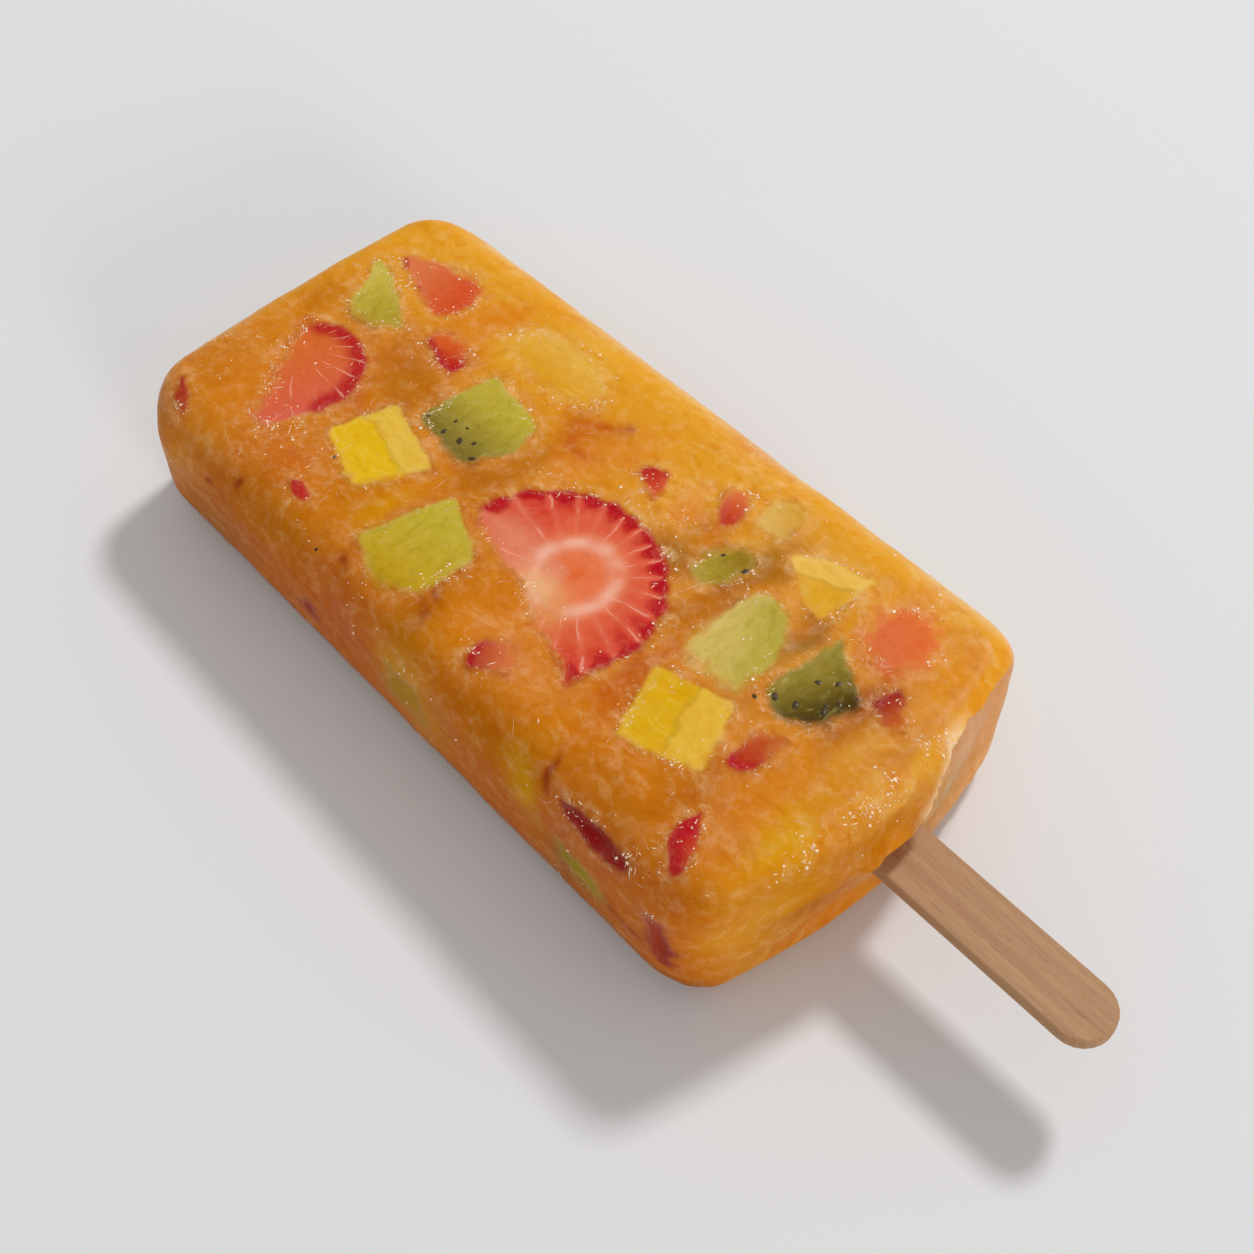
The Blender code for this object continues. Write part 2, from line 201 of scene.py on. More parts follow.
PATCHES = (
    # Between the tip and the kiwi with the seeds.
    Patch((-16, 100), (5.0, 3.0), 10, OLIVE_AMBER),
    Patch((1.5, 100), (5.0, 3.2), 0, OLIVE_AMBER),
    Patch((-13, 95), (6.0, 3.4), -10, PEACH, 0.35),
    Patch((20, 96), (4.5, 9.0), 0, GOLD, 0.8),
    Patch((3.0, 84), (5.5, 5.0), 30, ROSE_BROWN, 0.8),
    Patch((0.0, 87.5), (4.0, 3.0), 60, PEACH, 0.5),
    Patch((14, 80), (7.0, 4.5), -40, ORANGE, 0.9),
    Patch((-19, 81), (4.0, 5.5), 0, RUST, 0.45),
    Patch((-17, 69), (4.0, 4.5), 0, OLIVE_AMBER, 0.8),
    Patch((15, 74), (4.5, 5.0), 20, PALE_GOLD, 0.6),
    Patch((17, 66), (6.0, 3.5), 30, PALE_GOLD, 0.5),
    Patch((-2.0, 77), (4.5, 2.6), -20, BROWN, 0.55),
    # Round the half strawberry.
    Patch((-3.0, 61.5), (5.5, 3.4), -15, BROWN, 0.75),
    Patch((10.0, 58.5), (4.5, 4.2), 0, RUST, 0.6),
    Patch((12.5, 55.0), (1.6, 1.4), 0, DARK_RED, 0.4),
    Patch((4.5, 55.5), (3.5, 3.0), 0, PEACH, 0.6),
    Patch((11.0, 52.5), (6.0, 3.0), -10, PEACH, 0.55),
    Patch((-19.5, 51.5), (5.5, 2.6), 10, BROWN, 0.75),
    Patch((-15.0, 42.5), (4.5, 5.0), 80, PEACH, 0.55),
    Patch((-19.0, 36.0), (4.0, 3.6), 0, PEACH, 0.5),
    Patch((-10.0, 27.5), (8.5, 1.7), 8, RUST, 0.7),
    Patch((4.5, 36.5), (3.0, 4.5), 20, ROSE_BROWN, 0.6),
    Patch((7.0, 27.5), (9.5, 2.2), 0, BROWN, 0.75),
    Patch((9.5, 37.5), (3.5, 3.0), 0, BROWN, 0.45),
    Patch((-21.2, 51.0), (1.6, 0.5), 50, DARK_RED, 0.6),
    Patch((-18.6, 51.3), (1.3, 0.5), 20, DARK_RED, 0.5),
    Patch((13.4, 54.6), (1.2, 0.5), 60, DARK_RED, 0.6),
    Patch((11.8, 57.5), (2.6, 0.7), -50, RUST, 0.7),
    Patch((8.6, 57.0), (3.0, 0.8), 75, RUST, 0.6),
    Patch((1.6, 92.0), (3.4, 1.4), 80, BROWN, 0.6),
    # Near the stick.
    Patch((-21.5, 19.5), (3.0, 6.0), 0, BROWN, 0.5),
    Patch((-17.0, 12.5), (7.0, 2.8), -8, BROWN, 0.6),
    Patch((8.5, 18.8), (3.4, 1.8), -20, BROWN, 0.8),
    Patch((-3.0, 16.6), (2.6, 1.8), 0, BROWN, 0.5),
    Patch((-11.0, 5.5), (7.0, 3.0), 0, PEACH, 0.35),
    Patch((-13.5, 1.0), (6.5, 3.0), 10, YELLOW, 0.75),
    Patch((4.0, 5.5), (5.5, 3.4), 0, ROSE_BROWN, 0.6),
    Patch((0.5, 3.5), (3.5, 2.0), 0, CREAM, 0.35),
    Patch((16.0, 3.0), (6.5, 3.5), 10, ORANGE, 0.45),
    Patch((5.0, 0.0), (5.0, 1.6), 0, OLIVE_AMBER, 0.6),
    Patch((-6.0, 83.5), (3.5, 2.0), 20, RUST, 0.6),
    Patch((0.5, 30.0), (4.0, 1.8), -15, BROWN, 0.8),
    Patch((5.2, 36.5), (2.2, 3.6), 10, DARK_OLIVE, 0.55),
    Patch((12.0, 35.8), (3.0, 1.8), 0, RUST, 0.5),
    Patch((11.5, 28.8), (4.5, 2.4), 0, DARK_OLIVE, 0.5),
    Patch((6.0, 17.6), (5.0, 1.8), -8, DARK_OLIVE, 0.75),
    Patch((6.0, 7.4), (3.4, 2.0), 20, DEEP_RUST, 0.75),
    Patch((0.3, 7.0), (3.0, 2.0), 0, BROWN, 0.8),
    Patch((10.4, 9.0), (2.4, 4.0), 0, RUST, 0.7),
    Patch((0.0, 81.0), (3.2, 4.6), 0, BROWN, 0.7),
    Patch((6.5, 77.6), (3.4, 2.2), 0, RUST, 0.6),
    Patch((-15.0, 66.2), (4.5, 2.2), 0, YELLOW, 0.5),
    Patch((3.0, 60.0), (4.0, 2.4), -10, BROWN, 0.5),
    # Painted highlights along the far edge.
    Patch((25.0, 93.0), (3.0, 6.0), 0, CREAM, 0.6),
    Patch((25.0, 54.0), (3.0, 4.0), 0, CREAM, 0.5),
    Patch((25.0, 12.0), (3.0, 8.0), 0, CREAM, 0.5),
    Patch((25.0, 42.0), (3.0, 5.0), 0, ORANGE, 0.5),
    Patch((20.0, 13.0), (3.5, 6.0), 80, PEACH, 0.5),
    # The near long side.
    Patch((-26.5, 28.0, 17.0), (5.0, 2.6), 60, YELLOW, 0.8),
    Patch((-27.0, 47.0, 12.0), (6.0, 6.0), 0, YELLOW, 0.4),
    Patch((-27.0, 60.0, 14.0), (7.0, 5.0), 0, RUST, 0.4),
    Patch((-27.0, 84.0, 13.0), (7.0, 5.0), 0, BROWN, 0.45),
    Patch((-26.0, 95.0, 14.0), (6.0, 6.0), 0, CREAM, 0.35),
    Patch((-27.0, 10.0, 13.0), (6.0, 5.0), 0, ORANGE, 0.4),
    Patch((-26.0, 49.5, 16.5), (4.5, 4.0), 0, YELLOW, 0.55),
    Patch((-25.5, 76.0, 18.0), (7.0, 2.6), 0, OLIVE_AMBER, 0.7),
    Patch((-25.5, 36.0, 18.5), (5.0, 2.4), 0, OLIVE_AMBER, 0.6),
    Patch((-26.5, 20.0, 9.0), (5.0, 3.0), 0, DARK_OLIVE, 0.5),
    Patch((-26.5, 88.0, 8.0), (6.0, 2.6), 0, DARK_OLIVE, 0.45),
    Patch((-26.5, 11.0, 9.5), (3.4, 0.9), 5, DARK_RED, 0.6),
    Patch((-25.2, 83.0, 18.2), (0.9, 0.5), 30, DARK_RED, 0.8),
    Patch((-26.2, 87.4, 16.3), (1.0, 0.5), -20, DARK_RED, 0.7),
    Patch((-24.3, 62.8, 19.8), (0.9, 0.5), 10, DARK_RED, 0.8),
    Patch((-25.2, 24.6, 20.5), (0.9, 0.5), 40, DARK_RED, 0.8),
    # The stick end.
    Patch((-21.0, -1.0, 15.0), (4.0, 5.0), 0, GOLD, 0.6),
    Patch((-11.0, -3.0, 13.5), (8.0, 3.0), 0, BROWN, 0.6),
    Patch((-3.0, -4.0, 19.5), (5.0, 2.0), 0, OLIVE_AMBER, 0.8),
    Patch((2.0, -3.5, 17.5), (2.4, 2.2), 0, BROWN, 0.7),
    # A painted highlight along the stick end's top edge.
    Patch((1.0, -3.0, 22.6), (7.0, 1.0), 0, CREAM, 0.55),
    Patch((-10.0, -4.0, 6.0), (9.0, 3.0), 0, ORANGE, 0.6),
)


class Look(NamedTuple):
    """How a piece of fruit is coloured: from one colour to another across it, fading into the ice at its edge."""

    first: tuple
    second: tuple
    towards: float = 0.0  # the direction from the first colour to the second, in degrees across the face
    soft: float = 0.5  # how far inside and outside its outline the piece fades, in millimetres
    veil: float = 0.0  # how much ice is seen over it
    skin: tuple = ()  # a red skin: the direction it faces, how far it reaches round, and its depth
    crease: float = None  # where a crease runs between the two colours, in millimetres from the middle; a thin line of painted shade lies along it
    blur: tuple = ()  # a side that is softer than the rest: the direction it faces, and its own fade


LOOKS = {
    "strawberry_half_slice": Look(CORAL, CORAL, soft=0.3, skin=(-8, 124, 3.4), blur=(165, 1.8)),
    "strawberry_tip_slice": Look((212, 104, 40), (216, 92, 76), -110, 0.4, skin=(-30, 66, 3.2), blur=(120, 2.4)),
    "strawberry_corner_piece": Look((217, 118, 68), (212, 78, 34), -80, 0.6, skin=(120, 35, 0.8), blur=(-10, 1.3)),
    "strawberry_corner_sliver": Look((168, 32, 18), (184, 70, 30), 230, 0.35),
    "strawberry_crescent": Look((186, 30, 26), (214, 92, 30), 20, 0.35, skin=(205, 80, 1.3), blur=(10, 1.2)),
    "strawberry_chip_left": Look(CRIMSON, (190, 44, 30), -60, soft=0.3),
    "strawberry_chip_middle": Look((176, 48, 28), (208, 110, 62), -50, 0.4, skin=(135, 38, 1.5), blur=(-50, 1.8)),
    "strawberry_chip_far": Look((184, 36, 26), (206, 74, 38), -120, 0.35, blur=(220, 1.0)),
    "strawberry_chip_peach": Look((218, 112, 58), (194, 56, 32), 200, 0.4, blur=(60, 0.9)),
    "strawberry_soft_piece": Look((218, 108, 60), (224, 106, 48), -30, 2.0),
    "strawberry_teardrop": Look((176, 30, 22), (188, 82, 34), 10, 0.4, skin=(185, 60, 1.6), blur=(0, 1.3)),
    "strawberry_crimson_piece": Look((204, 72, 32), (182, 18, 34), 75, 0.3, skin=(75, 100, 2.4), blur=(-80, 0.9)),
    "strawberry_chip_stick": Look((150, 26, 18), (194, 92, 30), -100, 0.4, blur=(-80, 1.4)),
    "strawberry_edge_strip": Look(DARK_RED, (150, 22, 16), 90, 0.35),
    "strawberry_side_piece": Look((170, 52, 24), DARK_RED, 180, 0.6, 0.1),
    "strawberry_side_chip": Look(DARK_RED, (160, 40, 18), 90, 0.8, 0.2),
    "strawberry_far_side": Look(CORAL, (206, 60, 40), 0, 0.6, skin=(0, 90, 1.6)),
    "strawberry_tip_end": Look(CORAL, CRIMSON, 0, 0.6, skin=(0, 60, 1.4)),
    "kiwi_triangle": Look((203, 182, 74), (178, 152, 44), -115, 0.3, blur=(200, 1.2)),
    "kiwi_seeded_chunk": Look((124, 106, 44), (190, 170, 54), 0, 0.35, blur=(200, 0.9)),
    "kiwi_left_chunk": Look((190, 148, 12), (194, 172, 54), 15, 0.35, blur=(200, 1.2)),
    "kiwi_strip": Look((172, 146, 46), (148, 118, 28), -30, 0.6, blur=(40, 1.2)),
    "kiwi_pale_chunk": Look((210, 184, 100), (182, 164, 60), -60, 0.45, blur=(170, 1.6)),
    "kiwi_wedge": Look((150, 130, 44), (62, 42, 10), -112, 0.45, blur=(240, 1.3)),
    "kiwi_side_piece": Look((174, 146, 8), (158, 136, 10), 0, 1.2, 0.1),
    "kiwi_side_chunk": Look((180, 132, 8), (164, 132, 10), 0, 1.6, 0.3),
    "kiwi_far_side": Look((190, 172, 60), LIME, 40, 0.6),
    "mango_cube_tip": Look((227, 181, 24), (226, 184, 68), -15, 0.3, crease=0.9, blur=(215, 0.9)),
    "mango_far_chunk": Look((219, 154, 28), (228, 174, 72), 0, 1.2, 0.1),
    "mango_pale_chunk": Look((220, 174, 88), (210, 158, 62), -60, 0.6),
    "mango_wedge": Look((221, 162, 38), (233, 186, 82), 20, 0.3, crease=0.3),
    "mango_cube_stick": Look((219, 169, 20), (226, 179, 56), -70, 0.3, crease=0.4, blur=(235, 0.8)),
    "mango_far_side": Look((228, 176, 44), (222, 166, 26), 60, 0.5),
    "peach_chunk": Look((215, 128, 38), (227, 152, 66), 30, 1.2, 0.1),
}

# Loose seeds in the ice, and the seeds of the kiwi pieces.
LOOSE_SEEDS = (
    (-24.4, 67.6, 19.6), (-14.7, 76.5, 21.0), (-2.6, 16.2, 23.0),
)
KIWI_SEEDS = {
    "kiwi_seeded_chunk": (
        (-1.9, 73.9), (-2.4, 70.6), (-0.2, 70.9), (0.1, 68.9), (-1.9, 68.1), (-0.9, 66.4), (-2.7, 64.6)),
    "kiwi_strip": ((8.8, 33.0), (9.1, 29.4)),
    "kiwi_wedge": (
        (-0.9, 14.8), (-0.2, 12.3), (3.9, 12.7), (5.4, 11.1), (2.2, 10.1), (1.4, 9.6), (3.4, 9.1),
        (5.2, 8.3)),
}
SEED_LENGTH = 1.7
SEED_WIDTH = 1.0


# --- The block's surface ---------------------------------------------------------------------------------


def block_thickness(y):
    return STICK_END_THICKNESS + (TIP_THICKNESS - STICK_END_THICKNESS) * y / BLOCK_LENGTH


def half_end(width, corner, crown):
    """Half of an end that faces -Y, from its middle round its corner: rows of x, y and the outward normal."""
    lean = atan(2 * crown / (width / 2 - corner))
    bow = width / 2 - corner * (1 - sin(lean))
    x = np.linspace(0, bow, round(bow / PITCH), endpoint=False)
    slope = 2 * crown * x / bow**2
    length = np.hypot(1, slope)
    straight = np.stack([x, -crown * (1 - (x / bow) ** 2), slope / length, -1 / length], axis=1)
    angle = np.linspace(lean, pi / 2, round(corner * (pi / 2 - lean) / PITCH) + 1)
    x = width / 2 - corner * (1 - np.sin(angle))
    y = corner * (cos(lean) - np.cos(angle))
    return np.concatenate([straight, np.stack([x, y, np.sin(angle), -np.cos(angle)], axis=1)])


def block_outline():
    """The block's outline from above, counter-clockwise from the middle of the stick end."""
    stick_half = half_end(STICK_END_WIDTH, STICK_END_CORNER, STICK_END_CROWN)
    tip_half = half_end(TIP_WIDTH, TIP_CORNER, TIP_CROWN)[::-1] * (1, -1, 1, -1)
    tip_half[:, 1] += BLOCK_LENGTH
    start, end = stick_half[-1], tip_half[0]
    steps = round((end[1] - start[1]) / PITCH)
    side = start + (end - start) * np.linspace(0, 1, steps, endpoint=False)[1:, None]
    far = np.concatenate([stick_half, side, tip_half])
    near = far[-2:0:-1] * (-1, 1, -1, 1)
    return np.concatenate([far, near])


def dome(x, z, facing):
    """How far the stick end stands out at x and z, where facing is the outline's outward y there."""
    across = np.cos(pi / 2 * np.minimum(1, np.abs(x) / (STICK_END_WIDTH / 2)))
    up = np.cos(pi / 2 * np.minimum(1, np.abs(z - STICK_HEIGHT) / (STICK_END_THICKNESS / 2)))
    return DOME * across**2 * up**2 * np.maximum(0, -facing) ** 2


def block_loop(rows, bottom, wall, top):
    """One loop round the block: bottom and top run from 0 to 1 round the edges, and wall between them."""
    x, y, nx, ny = rows.T
    bottom_radius = BOTTOM_SIDE_EDGE + (BOTTOM_END_EDGE - BOTTOM_SIDE_EDGE) * ny**2
    top_radius = TOP_SIDE_EDGE + (TOP_END_EDGE - TOP_SIDE_EDGE) * ny**2
    inset = bottom_radius * (1 - sin(pi / 2 * bottom)) + top_radius * (1 - cos(pi / 2 * top))
    x, y = x - nx * inset, y - ny * inset
    wall_height = block_thickness(y) - bottom_radius - top_radius
    z = bottom_radius * (1 - cos(pi / 2 * bottom)) + wall_height * wall + top_radius * sin(pi / 2 * top)
    return np.stack([x, y - dome(x, z, ny), z], axis=1)


def inner_points(loop, pitch):
    """Staggered points inside a loop that bulges outwards everywhere, a little clear of the loop."""
    low, high = loop[:, :2].min(axis=0), loop[:, :2].max(axis=0)
    points = []
    for row, y in enumerate(np.arange(low[1] + pitch, high[1] - pitch / 2, pitch * sin(pi / 3))):
        crossing = loop[np.abs(loop[:, 1] - y) < PITCH, 0]
        reach = np.abs(crossing).min() if len(crossing) else 0
        count = int((reach - 0.7 * pitch) / pitch)
        shift = pitch / 2 * (row % 2)
        points += [(pitch * i + shift, y) for i in range(-count, count)]
    return points


def capped(vertices, loop, first, pitch, height, up):
    """Triangles that close a loop of the block, whose first point is vertex number first."""
    corners = [Vector(point[:2]) for point in loop]
    inner = [Vector(point) for point in inner_points(loop, pitch)]
    edges = [(i, (i + 1) % len(corners)) for i in range(len(corners))]
    points, _, faces, origins, _, _ = delaunay_2d_cdt(corners + inner, edges, [], 1, 1e-6)
    index = {}
    for i, origin in enumerate(origins):
        if origin and origin[0] < len(corners):
            index[i] = first + origin[0]
        else:
            index[i] = len(vertices)
            vertices.append((points[i].x, points[i].y, height(points[i].y)))
    return [[index[i] for i in (face if up else face[::-1])] for face in faces]


def block_mesh():
    """The whole block as one dense closed surface: bands round it, and a triangulated cap above and below."""
    rows = block_outline()
    edge_below = round(BOTTOM_SIDE_EDGE * pi / 2 / PITCH)
    edge_above = round(TOP_SIDE_EDGE * pi / 2 / PITCH)
    wall = round((TIP_THICKNESS - TOP_SIDE_EDGE - BOTTOM_SIDE_EDGE + 2) / PITCH)
    levels = [(step / edge_below, 0, 0) for step in range(edge_below + 1)]
    levels += [(1, step / wall, 0) for step in range(1, wall)]
    levels += [(1, 1, step / edge_above) for step in range(edge_above + 1)]
    loops = [block_loop(rows, *level) for level in levels]
    vertices = [tuple(point) for loop in loops for point in loop]
    count = len(rows)
    faces = []
    for level in range(len(levels) - 1):
        for i in range(count):
            j = (i + 1) % count
            low, high = level * count, (level + 1) * count
            faces.append((low + i, low + j, high + j, high + i))
    faces += capped(vertices, loops[0], 0, CAP_PITCH_BELOW, lambda y: 0.0, up=False)
    faces += capped(vertices, loops[-1], (len(levels) - 1) * count, PITCH, block_thickness, up=True)
    mesh = bpy.data.meshes.new("block")
    mesh.from_pydata(vertices, [], faces)
    mesh.validate()
    return mesh


# --- Cutting the fruit out of the block ------------------------------------------------------------------


def welded(node):
    bm = bmesh.new()
    bm.from_mesh(node.data)
    bmesh.ops.remove_doubles(bm, verts=bm.verts, dist=1e-6)
    bmesh.ops.scale(bm, vec=(1 / MM, 1 / MM, 1 / MM), verts=bm.verts)
    bmesh.ops.translate(bm, vec=(0, -BLOCK_START, 0), verts=bm.verts)
    return bm


def face_axes(facing):
    """Two axes across a face, so that with the direction it looks in they make a right-handed frame."""
    across = Vector((0, 1, 0)) if abs(facing.y) < 0.5 else Vector((-1, 0, 0))
    if facing == UP:
        across = Vector((1, 0, 0))
    return across, facing.cross(across)


def face_rim(bm, facing):
    """The corners of a piece's face, in order round it."""
    face = {f for f in bm.faces if f.normal.dot(facing) > 0.2}
    after = {}
    for edge in bm.edges:
        sides = [f for f in edge.link_faces if f in face]
        if len(sides) == 1:
            loop = next(loop for loop in sides[0].loops if loop.edge == edge)
            after[loop.vert] = loop.link_loop_next.vert
    start = vert = next(iter(after))
    rim = []
    while not rim or vert != start:
        rim.append(vert.co.copy())
        vert = after[vert]
    return rim


def resampled(rim, pitch):
    """Points along a closed outline, about a pitch apart."""
    points = []
    for start, end in zip(rim, rim[1:] + rim[:1]):
        steps = max(1, round((end - start).length / pitch))
        points += [start.lerp(end, step / steps) for step in range(steps)]
    return points


class Fruit:
    """One piece of fruit: its node's name, the frame of its face and the outline of that face."""

    def __init__(self, name, node):
        self.name = name
        self.kind = name.split("_")[0]
        self.facing = FACING.get(name, UP)
        self.across, self.along = face_axes(self.facing)
        bm = welded(node)
        rim = face_rim(bm, self.facing)
        self.deep = min(v.co.dot(self.facing) for v in bm.verts)
        self.high = max(v.co.dot(self.facing) for v in bm.verts)
        self.middle = sum(rim, Vector()) / len(rim)
        self.box_middle = sum((v.co for v in bm.verts), Vector()) / len(bm.verts)
        bm.free()
        self.outline = self.uneven([self.flat(point) for point in resampled(rim, RIM_PITCH)])
        self.centre = self.flat(self.middle)
        self.radius = max((point - self.centre).length for point in self.outline)

    def flat(self, point):
        return Vector((point.dot(self.across), point.dot(self.along)))

    def place(self, flat, height):
        return self.across * flat.x + self.along * flat.y + self.facing * height

    def uneven(self, outline):
        """The outline with the small unevenness of a hand-cut piece."""
        moved = []
        for i, point in enumerate(outline):
            side = outline[(i + 1) % len(outline)] - outline[i - 1]
            outward = Vector((side.y, -side.x)).normalized()
            offset = RIM_WANDER * noise.noise(Vector((point.x, point.y, 7)) / RIM_WANDER_LENGTH)
            if self.name == "strawberry_half_slice" and point.x > SLICE_CORE.x - 6:
                from_core = point - SLICE_CORE
                offset -= SLICE_NOTCH * ray_share(np.arctan2(from_core.y, from_core.x)) ** 3
            moved.append(point + outward * offset)
        return moved

    def cutter(self, bm):
        """Adds the piece's cutter, which narrows a little from above the ice to the piece's deep end."""
        centre = self.flat(self.middle)
        deep = [self.place(centre + (point - centre) * DEEP_SHARE, self.deep) for point in self.outline]
        high = [self.place(point, self.high + PROUD) for point in self.outline]
        low_ring = [bm.verts.new(point) for point in deep]
        high_ring = [bm.verts.new(point) for point in high]
        for i in range(len(low_ring)):
            j = (i + 1) % len(low_ring)
            bm.faces.new((low_ring[i], low_ring[j], high_ring[j], high_ring[i]))
        bm.faces.new(low_ring[::-1])
        bm.faces.new(high_ring)


# --- Painting: what each point of the surface looks like -------------------------------------------------


def linear(colour):
    """A colour given as 0 to 255 screen values, as the linear numbers that shaders take."""
    share = np.asarray(colour, float) / 255
    return np.where(share <= 0.04045, share / 12.92, ((share + 0.055) / 1.055) ** 2.4)


def smooth(low, high, value):
    share = np.clip((value - low) / (high - low), 0, 1)
    return share * share * (3 - 2 * share)


def mixed(first, second, share):
    return first + (second - first) * np.asarray(share)[..., None]


def wander(points, length, seed):
    """Smooth noise between about -1 and 1 at each point, with features of a length in millimetres."""
    shift = Vector((seed * 17.3, seed * 5.7, seed * 11.1))
    return np.array([noise.noise(Vector(point) / length + shift) for point in points]) * 1.6


def outline_distance(flat, outline):
    """Distance of flat points to a closed outline, positive outside and negative inside."""
    corners = np.array([tuple(point) for point in outline])
    ahead = np.roll(corners, -1, axis=0)
    nearest = np.full(len(flat), np.inf)
    inside = np.zeros(len(flat), bool)
    for (ax, ay), (bx, by) in zip(corners, ahead):
        dx, dy = bx - ax, by - ay
        along = np.clip(((flat[:, 0] - ax) * dx + (flat[:, 1] - ay) * dy) / (dx * dx + dy * dy), 0, 1)
        apart = np.hypot(flat[:, 0] - ax - along * dx, flat[:, 1] - ay - along * dy)
        nearest = np.minimum(nearest, apart)
        crosses = (ay > flat[:, 1]) != (by > flat[:, 1])
        with np.errstate(divide="ignore", invalid="ignore"):
            left = flat[:, 0] < ax + (flat[:, 1] - ay) * dx / dy
        inside ^= crosses & left
    return np.where(inside, -nearest, nearest)


def patch_share(points, patch):
    """How strongly a patch covers each point, from 0 to 1."""
    if len(patch.place) == 2:
        offset = points[:, :2] - patch.place
        off_face = 0
    else:
        side_on = abs(patch.place[0]) > 20
        offset = points[:, [1, 2] if side_on else [0, 2]] - np.array(patch.place)[[1, 2] if side_on else [0, 2]]
        off_face = (points[:, 0 if side_on else 1] - patch.place[0 if side_on else 1]) / PATCH_REACH
    turn = radians(patch.turn)
    along = offset[:, 0] * cos(turn) + offset[:, 1] * sin(turn)
    aside = offset[:, 1] * cos(turn) - offset[:, 0] * sin(turn)
    return np.exp(-((along / patch.size[0]) ** 2) - (aside / patch.size[1]) ** 2 - off_face**2)


def below_crest(points):
    """How far each point lies below the stick end's crest, which climbs to the far side from where it bends."""
    x, _, z = points.T
    crest = CREST_HEIGHT + CREST_RISE * np.clip(x - CREST_BEND, -22, 5.4) * np.where(x > CREST_BEND, 1, 0.12)
    return crest - z + 0.5 * wander(points, 3.0, 4)


def ice_colour(points):
    """The ice's colour at each point: amber to gold across the block, with its patches, its near side darker partly
    with painted shade, painted shade at that side's foot, and painted highlights along the far edge and the stick end's
    crest.
    """
    x, y, z = points.T
    drift = np.stack([wander(points, 4.0, seed) for seed in (1, 2, 3)], axis=1)
    moved = points + PATCH_DRIFT * drift
    colour = mixed(linear(AMBER), linear(GOLD), smooth(-18, 24, x))
    # the near long side is darker: partly the ice's own tone there, partly painted shade
    colour = mixed(colour, linear(SHADE), 0.85 * smooth(-22.5, -26.5, x))
    # painted sheen: paler cream along the far edge's upper rounding
    colour = mixed(colour, linear(CREAM), 0.55 * smooth(21, 27, x) * smooth(6, 16, z))
    colour = mixed(colour, linear(CREAM), 0.5 * smooth(101.5, 105, y))
    below = below_crest(points)
    sunk_face = smooth(3.0, 0.5, y) * smooth(1, 4, x) * smooth(0.2, 1.2, below)
    olive = np.exp(-(((x - 10.0 - 0.4 * (12 - z)) / 5.0) ** 2) - ((z - 11.0) / 5.0) ** 2)
    for patch in PATCHES:
        colour = mixed(colour, linear(patch.colour), patch.share * patch_share(moved, patch))
    # painted highlight: a cream line along the stick end's crest
    crest = np.exp(-((below / 0.6) ** 2)) * smooth(1.0, -1.5, y) * smooth(0, 4, x) * smooth(14, 11, x)
    # painted shade at the foot of the near long side, darker towards the floor
    colour = mixed(colour, linear(FOOT_SHADE), 0.7 * smooth(-22, -25, x) * smooth(7.5, 3.0, z))
    # painted highlight: a pale band along the far edge
    rim = smooth(22.5, 26, x) * smooth(8, 17, z) * np.clip(0.45 + 0.5 * wander(points, 7.0, 16), 0, 1)
    colour = mixed(colour * CLEARNESS, linear(FAR_EDGE_HIGHLIGHT), 0.6 * rim)
    face_colour = mixed(np.ones((len(points), 3)) * linear(END_PEACH), linear(END_OLIVE), 0.8 * olive)
    colour = mixed(colour, face_colour, 0.85 * sunk_face)
    return mixed(colour, linear(CREST_HIGHLIGHT), 0.85 * crest)


def ray_share(angle):
    """1 on the half strawberry's rays and 0 midway between them."""
    return 0.5 + 0.5 * np.cos(SLICE_RAYS * angle + RAY_SWAY * np.sin(2 * angle + 0.6))


def skin_share(fruit, look, flat, depth):
    """How much of a piece's skin shows at each flat point, from the side that the skin faces inwards."""
    facing, spread, _ = look.skin
    corners = fruit.outline
    turning = sum(p.x * q.y - q.x * p.y for p, q in zip(corners, corners[1:] + corners[:1]))
    side = 1 if turning > 0 else -1
    skin = []
    for i, corner in enumerate(corners):
        along = (corners[(i + 1) % len(corners)] - corners[i - 1]).normalized()
        outward = side * Vector((along.y, -along.x))
        if outward.dot(Vector((cos(radians(facing)), sin(radians(facing))))) > cos(radians(spread)):
            skin.append(tuple(corner))
    apart = np.hypot(*(flat[:, None, :] - np.array(skin)[None]).transpose(2, 0, 1)).min(axis=1)
    return 1 - smooth(0.35 * depth, depth, apart)


